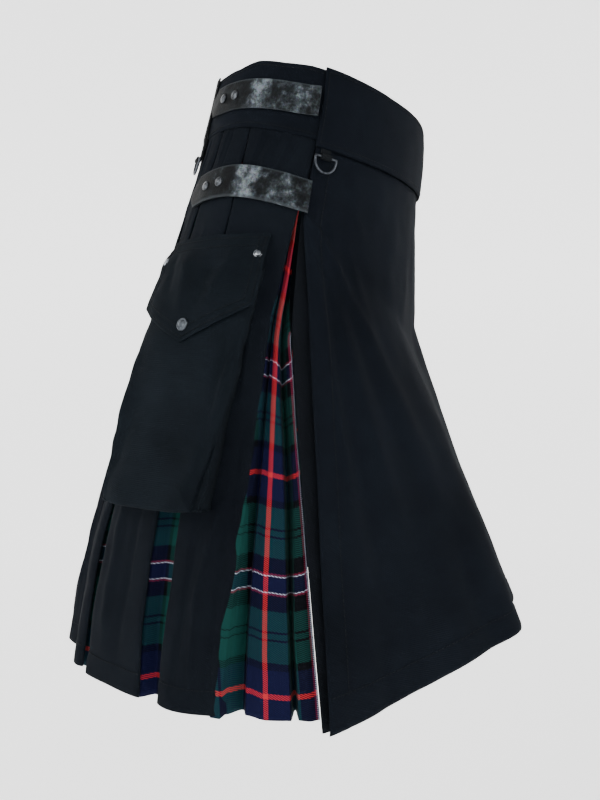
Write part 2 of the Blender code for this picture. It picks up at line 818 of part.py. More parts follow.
def pockets():
    for side, place in sides():
        cloth("pocket_%s" % side, pocket_rows(place), POCKET_WALL, "black_cotton", smooth=False)
        rows = flap_rows(place)
        cloth("flap_%s" % side, rows, FLAP_WALL, "black_cotton")
        inset = RIVET_COLUMN / FLAP_COLUMNS
        drop = RIVET_ROW / FLAP_STEPS
        snap_drop = 1.0 - SNAP_ROW_FROM_TIP / FLAP_STEPS
        heads = (
            ("rivet_%s_1" % side, inset, drop, RIVET_RADIUS),
            ("rivet_%s_2" % side, 1.0 - inset, drop, RIVET_RADIUS),
            ("snap_%s" % side, 0.5, snap_drop, SNAP_RADIUS),
        )
        for name, across, down, radius in heads:
            centre, outwards = on_grid(rows, across, down)
            dome(name, centre + outwards * SEAM_GAP, outwards, radius, BUTTON_HEIGHT, "dark_metal")


def main():
    clear_scene()
    apron = apron_grid()
    waistbands()
    aprons(apron)
    black_pleats()
    narrow_inserts()
    for side, place in sides():
        side_insert("insert_%s_wide" % side, place)
    straps()
    rings(apron)
    pockets()


main()
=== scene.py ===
"""A wrap kilt in black cotton twill, with checked cloth let into its pleats, leather straps and bag pockets.

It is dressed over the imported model. Metres, +Z up. The wearer would face -Y, so the wearer's right is -X.
Angles run round the body in degrees: 0 is the right side, 90 the front, -90 the back.
"""
import functools
import json
import math

import bmesh
import bpy
import numpy as np
from mathutils import Matrix, Vector, noise


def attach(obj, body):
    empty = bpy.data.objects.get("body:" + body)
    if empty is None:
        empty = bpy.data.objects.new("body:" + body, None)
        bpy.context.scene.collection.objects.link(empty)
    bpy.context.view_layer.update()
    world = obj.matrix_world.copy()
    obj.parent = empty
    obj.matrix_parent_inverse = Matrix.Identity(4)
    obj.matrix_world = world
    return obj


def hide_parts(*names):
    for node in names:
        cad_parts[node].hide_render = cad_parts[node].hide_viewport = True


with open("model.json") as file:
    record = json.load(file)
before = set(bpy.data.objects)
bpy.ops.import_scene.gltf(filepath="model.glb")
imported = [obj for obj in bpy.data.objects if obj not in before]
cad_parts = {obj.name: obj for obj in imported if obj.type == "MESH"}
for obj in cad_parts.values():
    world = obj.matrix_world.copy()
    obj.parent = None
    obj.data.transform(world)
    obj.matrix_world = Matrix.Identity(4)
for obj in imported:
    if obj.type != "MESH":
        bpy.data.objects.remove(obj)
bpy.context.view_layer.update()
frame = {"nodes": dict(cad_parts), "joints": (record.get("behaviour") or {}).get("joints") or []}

bl_info = {
    "name": "Wrap Kilt",
    "version": (1, 0),
    "blender": (4, 5, 0),
    "location": "View3D > Sidebar > Kilt",
    "description": "Cuts, drapes and finishes a wrap kilt over its packed model",
    "category": "Add Mesh",
}

# Walls and seams, as the solids have them
PLEAT_WALL = 0.0018
APRON_WALL = 0.0018
BAND_WALL = 0.0028
FLAP_WALL = 0.0024
STRAP_WALL = 0.0025
SEAM_GAP = 0.0003
LAY_GAP = 0.0005

# Waist and bands
TILT = math.tan(math.radians(14.0))
WAIST_BACK_RISE = 0.009
APRON_BAND_DEPTH = 0.073
BACK_BAND_DEPTH = 0.066
BAND_PROUD = 0.001
BAND_LAP_ANGLE = 9.0
APRON_EDGE_ANGLE = 21.0
WAIST_WAVE = (
    # angle, rise of the bands' top edge
    (-90.0, 0.0000),
    (-60.0, 0.0000),
    (-42.0, -0.0032),
    (-27.0, -0.0034),
    (-14.0, 0.0012),
    (0.0, 0.0020),
    (14.0, 0.0048),
    (21.0, 0.0046),
    (30.0, 0.0036),
    (45.0, 0.0024),
    (60.0, 0.0012),
    (90.0, 0.0000),
)

FRONT_BAND_FLAT = (0.357, 0.369, 0.383, 0.0740)
BACK_BAND_FLAT = (0.545, 0.562, 0.578, 0.0660)
BACK_BAND_TOP_DROP = 0.0015
FRONT_BAND_OVERHANG = 0.8
STITCH_INSET = 0.0045

# The body under the cloth, as the reach of its skin to the side, the front and the back
BODY_ROWS = (
    # height, side, front, back
    (0.040, 0.150, 0.112, 0.100),
    (0.000, 0.156, 0.113, 0.107),
    (-0.045, 0.163, 0.114, 0.118),
    (-0.100, 0.174, 0.109, 0.132),
    (-0.165, 0.187, 0.108, 0.152),
    (-0.255, 0.205, 0.118, 0.182),
    (-0.350, 0.222, 0.148, 0.210),
    (-0.450, 0.240, 0.183, 0.240),
    (-0.530, 0.252, 0.210, 0.259),
    (-0.620, 0.263, 0.236, 0.270),
)
BODY_SOFTNESS = 0.014

# Hem of the pleats
HEM_BY_APRON = -0.5855
HEM_AT_BACK = -0.579
HEM_TURN = -32.0

# Black pleats of the right side and the centre back, by the angles of their two edges
PLEAT_ROWS = (
    # name, front top, front middle, front hem, back top, back middle, back hem
    ("a", 22.0, 8.9, -1.4, -12.6, -12.0, -16.6),
    ("b", -13.4, -18.8, -20.8, -31.0, -38.6, -41.0),
    ("c", -31.8, -41.2, -44.4, -47.0, -53.2, -56.6),
    ("d", -47.8, -55.8, -59.6, -63.4, -68.2, -70.4),
    ("e", -64.2, -70.6, -73.4, -79.8, -81.8, -83.0),
    ("f", -80.6, -84.0, -85.8, -99.4, -96.0, -94.2),
)
SLIT_CLOSING = 3.6
SLIT_SHARE = 0.20
SLIT_LENGTH = 0.16
PLEAT_SWELL = 0.003
PLEAT_SEWN_SHARE = 0.15
PLEAT_TOP_TUCK = 0.0012
PLEAT_FLAT = (
    # name, cut width at the top, middle and hem, cut length
    ("a", 0.073, 0.067, 0.069, 0.526),
    ("b", 0.039, 0.064, 0.090, 0.535),
    ("c", 0.038, 0.042, 0.056, 0.538),
    ("d", 0.042, 0.046, 0.050, 0.540),
    ("e", 0.045, 0.043, 0.045, 0.541),
    ("f", 0.055, 0.046, 0.040, 0.541),
)

# Gathers below the band and creases down each pleat, in metres across from its back edge and down from the
# band, with the width of pleat that they are written for
PLEAT_CREASES = {
    "a": (
        (
            (0.030, 0.004, 0.018, 0.034, 0.0022, 0.0016),
            (0.040, 0.002, 0.030, 0.036, 0.0020, -0.0014),
            (0.052, 0.004, 0.040, 0.038, 0.0024, 0.0018),
            (0.064, 0.002, 0.052, 0.037, 0.0022, -0.0015),
            (0.078, 0.004, 0.067, 0.036, 0.0026, 0.0017),
            (0.090, 0.003, 0.082, 0.034, 0.0022, -0.0012),
            (0.078, 0.350, 0.060, 0.440, 0.0060, 0.0028),
            (0.062, 0.420, 0.070, 0.500, 0.0060, 0.0024),
            (0.046, 0.360, 0.040, 0.500, 0.0080, -0.0022),
            (0.100, 0.300, 0.098, 0.500, 0.0060, -0.0018),
            (0.088, 0.120, 0.092, 0.260, 0.0060, 0.0012),
        ),
        0.125,
    ),
    "b": (
        (
            (0.030, 0.002, 0.026, 0.034, 0.0024, 0.0014),
            (0.050, 0.003, 0.045, 0.036, 0.0024, -0.0013),
            (0.030, 0.340, 0.034, 0.490, 0.0080, 0.0024),
            (0.068, 0.360, 0.062, 0.495, 0.0070, -0.0020),
            (0.050, 0.110, 0.050, 0.240, 0.0060, 0.0009),
        ),
        0.105,
    ),
    "c": (
        (
            (0.020, 0.120, 0.026, 0.470, 0.0080, 0.0018),
            (0.050, 0.260, 0.046, 0.490, 0.0070, -0.0016),
            (0.030, 0.004, 0.028, 0.040, 0.0024, 0.0012),
        ),
        0.075,
    ),
    "d": (
        (
            (0.030, 0.100, 0.036, 0.470, 0.0090, -0.0016),
            (0.052, 0.250, 0.055, 0.490, 0.0080, 0.0020),
        ),
        0.075,
    ),
    "e": (
        (
            (0.024, 0.160, 0.028, 0.480, 0.0080, 0.0020),
            (0.046, 0.060, 0.044, 0.300, 0.0070, -0.0012),
        ),
        0.065,
    ),
    "f": (
        (
            (0.036, 0.120, 0.040, 0.490, 0.0100, 0.0018),
            (0.062, 0.200, 0.058, 0.470, 0.0070, -0.0014),
        ),
        0.080,
    ),
}
PLEAT_HEM_TURN = 0.020

# Checked inserts
INSERT_GAP = 0.0008
INSERT_HEM_DROP = 0.002
UNDERLAP_ANGLE = 2.4
INSERT_START = 0.06
VALLEY_DEPTH = 0.016
NARROW_FLAT = (0.016, 0.036, 0.054, 0.505)
NARROW_FOLDS = (
    # share across, depth as a share of the valley, millimetres across the cloth from its middle
    (0.00, 0.00, -34.0),
    (0.15, 0.15, -24.0),
    (0.34, 1.00, -10.0),
    (0.66, 1.00, 10.0),
    (0.85, 0.15, 24.0),
    (1.00, 0.00, 34.0),
)
SIDE_INSERT_START = 0.10
WIDE_UNDERLAP_SHARE = 0.08
WIDE_UNDERLAP_REACH = 0.087
NARROWEST_INSERT = 3.2
SIDE_SEAM_ANGLES = (19.7, 20.0, 18.7)
WIDE_FLAT = (0.018, 0.078, 0.140, 0.466)
SIDE_INSERT_FOLDS = (
    # share of the opening when its folds are drawn level, depth at the hem, drop of the weft
    (0.00, 0.004, 0.0000),
    (0.13, 0.018, 0.0014),
    (0.19, 0.008, 0.0006),
    (0.40, 0.002, 0.0024),
    (0.62, 0.003, 0.0042),
    (0.73, 0.026, 0.0076),
    (0.84, 0.004, 0.0036),
    (0.92, 0.002, 0.0022),
    (1.00, 0.005, 0.0006),
)
SIDE_INSERT_TURNS = (
    # share down, share of the opening at the red line, at the start of the front fold and at its end
    (0.00, 0.46, 0.58, 0.88),
    (0.17, 0.43, 0.54, 0.86),
    (0.30, 0.36, 0.46, 0.84),
    (0.36, 0.37, 0.46, 0.84),
    (0.49, 0.38, 0.59, 0.88),
    (0.62, 0.39, 0.64, 0.86),
    (0.81, 0.40, 0.68, 0.78),
    (1.00, 0.45, 0.70, 0.78),
)
SIDE_INSERT_LEVEL = (0.40, 0.62, 0.84)
SIDE_INSERT_VALLEY = 0.16
SIDE_INSERT_SEAM_LINE = 0.0856
# Near the top the check is slid by this much, so that its black bar shows by the seam: painted shade where the
# front fold casts its shadow. The share down after it ends both this slide and the deeper tuck of the cloth
SIDE_INSERT_SEAM_SHADE_SHIFT = 0.009
SIDE_INSERT_TUCK_AND_SHADE_END = 0.29
SIDE_INSERT_TUCK_DEPTH = 0.016
SIDE_INSERT_SLACK = 0.008

# Apron
APRON_LINES = (
    # waist angle, out at the waist, hip crease x, y, z, hem x, y, z
    (21.0, 0.0025, -0.1733, -0.0262, -0.150, -0.243, -0.067, -0.5940),
    (36.0, 0.0000, -0.1540, -0.0530, -0.178, -0.197, -0.108, -0.5850),
    (50.0, 0.0000, -0.1255, -0.0760, -0.205, -0.151, -0.148, -0.5730),
    (64.0, 0.0000, -0.0880, -0.0918, -0.230, -0.105, -0.188, -0.5605),
    (77.0, 0.0000, -0.0470, -0.1010, -0.248, -0.060, -0.222, -0.5500),
    (90.0, 0.0000, 0.0000, -0.1030, -0.256, 0.000, -0.2165, -0.5480),
)
APRON_HEM_DROP = 0.0025
LEFT_THIGH_REACH = 0.89
CREASE_SOFTNESS = 0.006
CREASE_SHARE = 5.0 / 16.0
APRON_FLAT = (0.374, 0.474, 0.606, 0.495)
UNDER_GAP_TOP = 0.0012
UNDER_GAP_HEM = 0.0070
SEAM_ANGLE = 0.16
FAN_FOLDS = (
    # share across at the hip, share across at the hem, width, height, first and last share down
    (0.030, 0.075, 0.030, 0.0035, 0.18, 0.98),
    (0.070, 0.190, 0.035, 0.0030, 0.20, 0.90),
    (0.110, 0.330, 0.040, 0.0025, 0.22, 0.75),
)

# Creases of the apron, in metres across from its right edge as if it were 0.5 m wide, and down from its band
APRON_CREASE_SPAN = 0.5
APRON_CREASES = (
    # from across, along, to across, along, width, height
    (0.000, 0.148, 0.030, 0.160, 0.0050, 0.0030),
    (0.028, 0.159, 0.050, 0.176, 0.0060, 0.0034),
    (0.048, 0.175, 0.095, 0.215, 0.0090, 0.0028),
    (0.004, 0.170, 0.034, 0.192, 0.0045, -0.0016),
    (0.012, 0.165, 0.032, 0.330, 0.0060, 0.0020),
    (0.022, 0.180, 0.058, 0.400, 0.0090, -0.0020),
    (0.030, 0.178, 0.090, 0.360, 0.0100, 0.0018),
    (0.052, 0.190, 0.130, 0.345, 0.0120, -0.0016),
    (0.110, 0.240, 0.170, 0.420, 0.0220, 0.0022),
    (0.150, 0.360, 0.165, 0.520, 0.0160, -0.0020),
    (0.085, 0.400, 0.095, 0.530, 0.0120, 0.0016),
    (0.050, 0.430, 0.052, 0.530, 0.0090, -0.0014),
    (0.060, 0.020, 0.085, 0.110, 0.0120, 0.0009),
    (0.140, 0.030, 0.120, 0.130, 0.0160, -0.0010),
    (0.210, 0.040, 0.200, 0.160, 0.0140, 0.0010),
    (0.490, 0.145, 0.455, 0.180, 0.0060, 0.0022),
    (0.470, 0.172, 0.430, 0.395, 0.0090, -0.0018),
    (0.455, 0.178, 0.400, 0.365, 0.0110, 0.0018),
    (0.390, 0.250, 0.345, 0.430, 0.0220, 0.0020),
    (0.350, 0.380, 0.340, 0.520, 0.0150, -0.0018),
    (0.300, 0.400, 0.290, 0.525, 0.0180, 0.0018),
    (0.230, 0.380, 0.225, 0.520, 0.0200, -0.0018),
)
APRON_EDGE_TURN = 0.020
APRON_HEM_TURN = 0.022

# Straps
STRAP_ROWS = (
    # name, rear angle, front angle, drop of the top edge at the rear, middle and front, width
    ("upper", -46.0, 18.6, 0.0185, 0.0190, 0.0165, 0.029),
    ("lower", -42.0, 21.2, 0.1120, 0.1030, 0.1060, 0.031),
)
STRAP_LENGTH = 0.148
STRAP_COLUMNS = 14
STRAP_GAP = 0.0009
STRAP_END_ROUND = 0.34
STRAP_FRONT_LIFT = 0.0030
STRAP_EDGE_MIRROR = 0.015
# Painted highlights on the straps: the leather's colour is made lighter at set places along each strap, where the
# lamps glance off it
STRAP_PAINTED_HIGHLIGHTS = (
    # share of the strap from its rear end, strength of the painted highlight there
    (0.00, 0.00),
    (0.42, 0.00),
    (0.53, 0.95),
    (0.61, 0.90),
    (0.67, 0.32),
    (0.76, 0.36),
    (0.83, 0.70),
    (0.90, 0.38),
    (1.00, 0.34),
)

# Rings
RING_WIDTH = 0.022
RING_DROP = 0.015
RING_WIRE = 0.0012

# Pockets
POCKET_TOP = -0.200
POCKET_BOTTOM = -0.411
POCKET_MIDDLE_ANGLES = (-14.9, -19.6)
POCKET_WIDTH = 0.116
POCKET_DEPTH_TOP = 0.008
POCKET_DEPTH_BOTTOM = 0.026
POCKET_FLAT = (0.146, 0.172, 0.150, 0.244)
FLAP_TOP = -0.166
FLAP_SIDE = -0.233
FLAP_TIP = -0.2665
FLAP_MIDDLE_ANGLES = (-17.6, -17.2)
FLAP_TIP_SHIFT = 2.3
FLAP_WIDTH = 0.127
FLAP_SEWN = 0.027
FLAP_FLAT = (0.130, 0.130, 0.130, 0.097)
POCKET_SQUARENESS = 0.24
POCKET_FOOT_SHARE = 0.93
# Creases of a bag pocket, in metres across from its back edge and down from its mouth
POCKET_CREASE_SPAN = 0.165
POCKET_CREASES = (
    (0.062, 0.075, 0.058, 0.190, 0.0120, 0.0040),
    (0.100, 0.070, 0.108, 0.170, 0.0090, -0.0030),
    (0.120, 0.090, 0.092, 0.215, 0.0100, 0.0036),
    (0.082, 0.110, 0.070, 0.200, 0.0080, -0.0034),
    (0.040, 0.080, 0.046, 0.205, 0.0090, -0.0026),
    (0.028, 0.150, 0.060, 0.222, 0.0060, 0.0022),
    (0.134, 0.165, 0.112, 0.225, 0.0050, -0.0030),
    (0.140, 0.190, 0.128, 0.228, 0.0040, 0.0026),
    (0.090, 0.205, 0.110, 0.232, 0.0050, 0.0020),
)
FLAP_CREASES = (
    # from across, along, to across, along, width, height
    (0.100, 0.020, 0.086, 0.062, 0.0060, 0.0022),
    (0.080, 0.018, 0.072, 0.070, 0.0070, -0.0018),
    (0.050, 0.022, 0.056, 0.076, 0.0080, 0.0020),
    (0.026, 0.018, 0.034, 0.060, 0.0060, -0.0016),
    (0.112, 0.016, 0.118, 0.050, 0.0040, -0.0012),
)

# The check, from the middle of its red line to the middle of its navy bar; it mirrors at both ends
SETT = (
    # thread, width in millimetres
    ("red", 2.0),
    ("navy", 19.0),
    ("black", 6.2),
    ("green", 17.5),
    ("black", 1.8),
    ("green", 4.8),
    ("black", 1.8),
    ("green", 16.6),
    ("black", 12.7),
    ("crimson", 1.8),
    ("white", 1.3),
    ("navy", 6.5),
)
RED_LINE_HEIGHT = -0.381
# Ten repeats, so that no place in the check lies below zero
CHECK_OFFSET = 1.84
THREADS = {
    "red": "#951f27",
    "navy": "#090b24",
    "black": "#030407",
    "green": "#092c29",
    "crimson": "#581228",
    "white": "#8f92a2",
}

# Photograph's view: the camera is level and stands to the wearer's right, a little ahead
VIEW_ANGLE = math.radians(13.0)
VIEW_DISTANCE = 0.967
VIEW_HEIGHT = -0.278
PHOTO_WIDTH = 600.0
PHOTO_HEIGHT = 800.0
FOCAL_PIXELS = 859.0
CENTRE_PIXEL = (319.0, 355.0)
FLOOR_HEIGHT = -1.05
LAMPS = (
    # name, angle round the body, distance, height, size, watts
    ("key_softbox", -38.0, 2.3, 1.1, 1.3, 26.0),
    ("camera_softbox", 30.0, 2.6, 1.3, 1.6, 10.0),
    ("front_softbox", 95.0, 2.4, 0.7, 1.2, 5.0),
    ("back_softbox", 215.0, 2.6, 1.2, 1.6, 10.0),
)
LAMP_AIM_HEIGHT = -0.30

# Share of a panel over which its slope is read
SLOPE_STEP = 0.004


def linear(colour):
    """Linear red, green, blue and alpha of an sRGB hex colour."""
    shares = [int(colour[start:start + 2], 16) / 255.0 for start in (1, 3, 5)]
    return tuple(s / 12.92 if s <= 0.04045 else ((s + 0.055) / 1.055) ** 2.4 for s in shares) + (1.0,)


def blend(first, last, share):
    return first + (last - first) * share


def ease(share):
    share = min(max(share, 0.0), 1.0)
    return share * share * (3.0 - 2.0 * share)


def through_three(top, middle, low, share):
    """Value at a share of the way down of the parabola through a top, a middle and a low value."""
    return (
        top * (1.0 - 2.0 * share) * (1.0 - share)
        + middle * 4.0 * share * (1.0 - share)
        + low * share * (2.0 * share - 1.0)
    )


def smooth_between(before, first, last, after, share):
    """Cubic curve from first to last whose slopes come from the values before and after them."""
    slope_in = (last - before) / 2.0
    slope_out = (after - first) / 2.0
    square = share * share
    cube = square * share
    return (
        first * (2.0 * cube - 3.0 * square + 1.0)
        + slope_in * (cube - 2.0 * square + share)
        + last * (3.0 * square - 2.0 * cube)
        + slope_out * (cube - square)
    )


def along_table(rows, share, column):
    """Value of a column at a share, eased between a table's rows, whose first column is the share."""
    before = rows[0]
    for after in rows[1:]:
        if share <= after[0]:
            step = (share - before[0]) / (after[0] - before[0])
            return blend(before[column], after[column], ease(step))
        before = after
    return before[column]


def straight_along_table(rows, share, column):
    """Value of a column at a share, straight between a table's rows, whose first column is the share."""
    before = rows[0]
    for after in rows[1:]:
        if share <= after[0]:
            return blend(before[column], after[column], (share - before[0]) / (after[0] - before[0]))
        before = after
    return before[column]


def body_reach(height):
    """Side, front and back reach of the body, with the bends between the table's rows softened."""
    reach = [0.0, 0.0, 0.0]
    heights = [-row[0] for row in BODY_ROWS]
    for offset in (-BODY_SOFTNESS, 0.0, BODY_SOFTNESS):
        for column in range(3):
            values = [row[column + 1] for row in BODY_ROWS]
            reach[column] += float(np.interp(-height + offset, heights, values)) / 3.0
    return reach


@functools.lru_cache(maxsize=None)
def reach_at(millimetres):
    return body_reach(millimetres / 1000.0)


def on_body(angle, height, out=0.0):
    """Point on the body at an angle and a height, moved outwards in its level plane."""
    low = math.floor(height * 1000.0)
    share = height * 1000.0 - low
    side, front, back = (blend(a, b, share) for a, b in zip(reach_at(low), reach_at(low + 1)))
    turn = math.radians(angle)
    middle = (back - front) / 2.0
    half = (back + front) / 2.0
    point = Vector((-side * math.cos(turn), middle - half * math.sin(turn), height))
    outwards = Vector((-half * math.cos(turn), -side * math.sin(turn), 0.0)).normalized()
    return point + outwards * out


def right_angle_of(angle):
    """The angle on the right side, or at the front or back middle, that mirrors an angle on the left."""
    if angle < -90.0:
        return -180.0 - angle
    if angle > 90.0:
        return 180.0 - angle
    return angle


def waist_height(angle):
    rise = on_body(angle, 0.0).y * TILT
    return rise if rise < 0.0 else WAIST_BACK_RISE * math.tanh(rise / WAIST_BACK_RISE)


def seam_height(angle):
    return waist_height(angle) - BACK_BAND_DEPTH


def hem_height(angle):
    share = ease((right_angle_of(angle) - HEM_TURN) / (APRON_EDGE_ANGLE - HEM_TURN))
    return blend(HEM_AT_BACK, HEM_BY_APRON, share)


def pleat_edges(row, down):
    """Angles of a pleat's back and front edges at a share of the way down."""
    front = through_three(*row[1:4], down)
    if row[0] == "b":
        front += SLIT_CLOSING * math.exp(-((down - SLIT_SHARE) / SLIT_LENGTH) ** 2)
    return through_three(*row[4:7], down), front


def pleat_swell(share, down):
    """How far a pleat's middle stands out from its two edges, below where the pleats are sewn down."""
    free = max(0.0, down - PLEAT_SEWN_SHARE) / (1.0 - PLEAT_SEWN_SHARE)
    return PLEAT_SWELL * free * 4.0 * max(0.0, share * (1.0 - share))


def pleats_out(angle, height):
    """How far the pleats' outer face stands off the body at an angle of the right side."""
    top = seam_height(angle) - SEAM_GAP
    down = (top - height) / (top - hem_height(angle))
    outs = []
    for row in PLEAT_ROWS:
        back, front = pleat_edges(row, down)
        outs.append(pleat_swell((angle - back) / (front - back), down))
    return max(outs)


def side_seam_angle(down):
    return through_three(*SIDE_SEAM_ANGLES, down)


def under_gap(down):
    """How far the under apron's face lies below the outer apron's face."""
    return APRON_WALL + blend(UNDER_GAP_TOP, UNDER_GAP_HEM, down)


def creases_height(creases, across, along):
    """Height of listed creases at a place on a panel, in metres across and along its cloth."""
    total = 0.0
    for x0, y0, x1, y1, width, height in creases:
        run = (x1 - x0, y1 - y0)
        length = math.hypot(*run)
        share = ((across - x0) * run[0] + (along - y0) * run[1]) / (length * length)
        if -0.15 < share < 1.15:
            away = abs((across - x0) * run[1] - (along - y0) * run[0]) / length
            if away < 3.0 * width:
                ends = ease((share + 0.15) / 0.35) * ease((1.15 - share) / 0.35)
                total += height * ends * math.exp(-(away / width) ** 2)
    return total


def ripple(across, along, seed, size, height):
    """Small uneven waves of a cloth that has been worn, of a size and height in metres."""
    return height * noise.noise(Vector((across / size, along / size, seed * 7.3)))


class Panel:
    """A cloth panel as a surface over two shares: u runs round the body, towards the front, and v runs down."""

    def __init__(self, place, relief, flat, left=False):
        self.place_right = place
        self.relief_right = relief
        self.widths = flat[:3]
        self.length = flat[3]
        self.left = left

    def width(self, v):
        return through_three(*self.widths, v)

    def share(self, u):
        return 1.0 - u if self.left else u

    def place(self, u, v):
        point = self.place_right(self.share(u), v)
        return Vector((-point.x, point.y, point.z)) if self.left else point

    def relief(self, u, v):
        share = self.share(u)
        return self.relief_right(share, v, self.width(v), self.length)

    def outwards(self, u, v):
        step = SLOPE_STEP
        across = self.place(min(u + step, 1.0), v) - self.place(max(u - step, 0.0), v)
        down = self.place(u, min(v + step, 1.0)) - self.place(u, max(v - step, 0.0))
        return down.cross(across).normalized()

    def on(self, u, v, lift=0.0):
        """Finished point of the surface at two shares of the right-hand panel, and its outward direction."""
        u = self.share(u)
        outwards = self.outwards(u, v)
        return self.place(u, v) + outwards * (self.relief(u, v) + lift), outwards


def object_from(name, sheet, finish):
    """Links a bmesh as a new object with one material."""
    mesh = bpy.data.meshes.new(name)
    sheet.to_mesh(mesh)
    sheet.free()
    mesh.materials.append(finish)
    made = bpy.data.objects.new(name, mesh)
    bpy.context.scene.collection.objects.link(made)
    return made


def panel_mesh(name, panel, columns, rows, finish, chart=None):
    """Grid that is laid on a panel's surface, with its cloth's own measures in metres as its UV map."""
    sheet = bmesh.new()
    bmesh.ops.create_grid(sheet, x_segments=columns, y_segments=rows, size=0.5)
    shares = {vert: (vert.co.x + 0.5, 0.5 - vert.co.y) for vert in sheet.verts}
    cloth = sheet.loops.layers.uv.new("cloth")
    for vert, (u, v) in shares.items():
        vert.co = panel.place(u, v)
    sheet.normal_update()
    lifts = {vert: vert.normal * panel.relief(*shares[vert]) for vert in sheet.verts}
    for vert, lift in lifts.items():
        vert.co += lift
    for face in sheet.faces:
        face.smooth = True
        for loop in face.loops:
            u, v = shares[loop.vert]
            u = panel.share(u)
            loop[cloth].uv = chart(u, v) if chart else ((u - 0.5) * panel.width(v), v * panel.length)
    return object_from(name, sheet, finish)


def thicken(piece, wall, rim=0.0):
    """Gives a panel its cloth's thickness, inwards, and where it is thick enough a rounded rim."""
    solid = piece.modifiers.new("wall", "SOLIDIFY")
    solid.thickness = wall
    solid.offset = -1.0
    if rim:
        bevel = piece.modifiers.new("rim", "BEVEL")
        bevel.affect = "EDGES"
        bevel.width = rim
        bevel.segments = 2
        bevel.profile = 0.5
        bevel.material = -1
        bevel.limit_method = "ANGLE"
        bevel.angle_limit = math.radians(50.0)
    return piece


def cut(flat):
    """Reads a piece's widths at top, middle and hem and its length from its flat cut, and finds the widest width;
    nothing is kept.
    """
    widths, length = flat[:3], flat[3]
    width = max(widths)


def dress(piece, nodes, body="kilt"):
    """Puts a piece on its body, in place of the solids that it stands for."""
    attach(piece, body)
    if nodes:
        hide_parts(*nodes)
    return piece


def sides():
    return (("right", False), ("left", True))


def fill(tree, node, **links):
    """Fills a node's inputs, named or numbered as i0, i1 and so on, with values or other nodes' outputs."""
    for name, value in links.items():
        key = int(name[1:]) if name[0] == "i" and name[1:].isdigit() else name.replace("_", " ")
        if isinstance(value, bpy.types.NodeSocket):
            tree.links.new(value, node.inputs[key])
        else:
            node.inputs[key].default_value = value


def add_node(tree, kind, settings=None, **links):
    """Adds a node, sets its settings and fills its inputs."""
    node = tree.nodes.new(kind)
    for name, value in (settings or {}).items():
        setattr(node, name, value)
    fill(tree, node, **links)
    return node


def new_material(name):
    """A material and its node tree, with a fresh Principled shader joined to its output."""
    made = bpy.data.materials.new(name)
    made.use_nodes = True
    tree = made.node_tree
    tree.nodes.clear()
    shader = add_node(tree, "ShaderNodeBsdfPrincipled")
    add_node(tree, "ShaderNodeOutputMaterial", Surface=shader.outputs["BSDF"])
    return made, tree, shader


def ramp(tree, factor, stops, interpolation="LINEAR"):
    """Colour ramp from a list of positions and colours."""
    node = add_node(tree, "ShaderNodeValToRGB", Fac=factor)
    node.color_ramp.interpolation = interpolation
    elements = node.color_ramp.elements
    while len(elements) < len(stops):
        elements.new(1.0)
    for element, (position, colour) in zip(elements, stops):
        element.position = position
        element.color = colour
    return node


def twill_wave(tree, uv, pitch):
    """Diagonal ribs of a twill weave at a pitch in metres, from 0 in the grooves to 1 on the ribs."""
    turned = add_node(
        tree, "ShaderNodeMapping", Vector=uv, Rotation=(0.0, 0.0, math.radians(63.0)),
    )
    wave = add_node(
        tree, "ShaderNodeTexWave", {"wave_type": "BANDS", "bands_direction": "X"},
        Vector=turned.outputs["Vector"], Scale=0.314 / pitch, Distortion=0.4, Detail=1.0,
    )
    return wave.outputs["Fac"]


def twill_cloth(name, colour, worn_colour, seed, pitch=0.0016):
    """Dyed black cotton twill, woven: matt, almost without sheen, and faintly faded.

    The real rib is 0.6 mm; it is drawn at 1.6 mm so that it shows.
    """
    made, tree, shader = new_material(name)
    uv = add_node(tree, "ShaderNodeUVMap", {"uv_map": "cloth"}).outputs["UV"]
    place = add_node(tree, "ShaderNodeTexCoord").outputs["Object"]
    ribs = twill_wave(tree, uv, pitch)
    fading = add_node(tree, "ShaderNodeTexNoise", Vector=place, Scale=9.0 + seed, Detail=6.0, Roughness=0.62)
    lint = add_node(tree, "ShaderNodeTexNoise", Vector=place, Scale=420.0, Detail=3.0, Roughness=0.7)
    base = ramp(tree, fading.outputs["Fac"], ((0.30, linear(colour)), (0.74, linear(worn_colour))))
    # Painted shade: the colour is darkened in the grooves between the twill's ribs
    groove_shaded = add_node(
        tree, "ShaderNodeMix", {"data_type": "RGBA", "blend_type": "MULTIPLY"},
        i0=0.55, i6=base.outputs["Color"],
        i7=ramp(tree, ribs, ((0.2, (0.62, 0.62, 0.62, 1.0)), (0.8, (1.0, 1.0, 1.0, 1.0)))).outputs["Color"],
    )
    speckled = add_node(
        tree, "ShaderNodeMix", {"data_type": "RGBA", "blend_type": "MULTIPLY"},
        i0=0.5, i6=groove_shaded.outputs[2],
        i7=ramp(
            tree, lint.outputs["Fac"], ((0.35, (0.7, 0.7, 0.7, 1.0)), (0.7, (1.35, 1.35, 1.35, 1.0))),
        ).outputs["Color"],
    )
    height = add_node(
        tree, "ShaderNodeMath", {"operation": "MULTIPLY_ADD"}, i0=lint.outputs["Fac"], i1=0.6, i2=ribs,
    )
    bump = add_node(tree, "ShaderNodeBump", Strength=0.35, Distance=0.0003, Height=height.outputs[0])
    fill(
        tree, shader,
        Base_Color=speckled.outputs[2], Normal=bump.outputs["Normal"], Roughness=0.9,
        Specular_IOR_Level=0.03, Sheen_Weight=0.008, Sheen_Roughness=0.5,
        Sheen_Tint=linear("#8c96a4"),
    )
    return made


def threads(tree, place, half):
    """Colour of the thread at a place across the check, which mirrors every half repeat."""
    folded = add_node(tree, "ShaderNodeMath", {"operation": "PINGPONG"}, i0=place, i1=half)
    share = add_node(tree, "ShaderNodeMath", {"operation": "DIVIDE"}, i0=folded.outputs[0], i1=half)
    stops = []
    start = 0.0
    for thread, width in SETT:
        stops.append((start, linear(THREADS[thread])))
        start += width / 1000.0 / half
    return ramp(tree, share.outputs[0], stops, "CONSTANT").outputs["Color"]


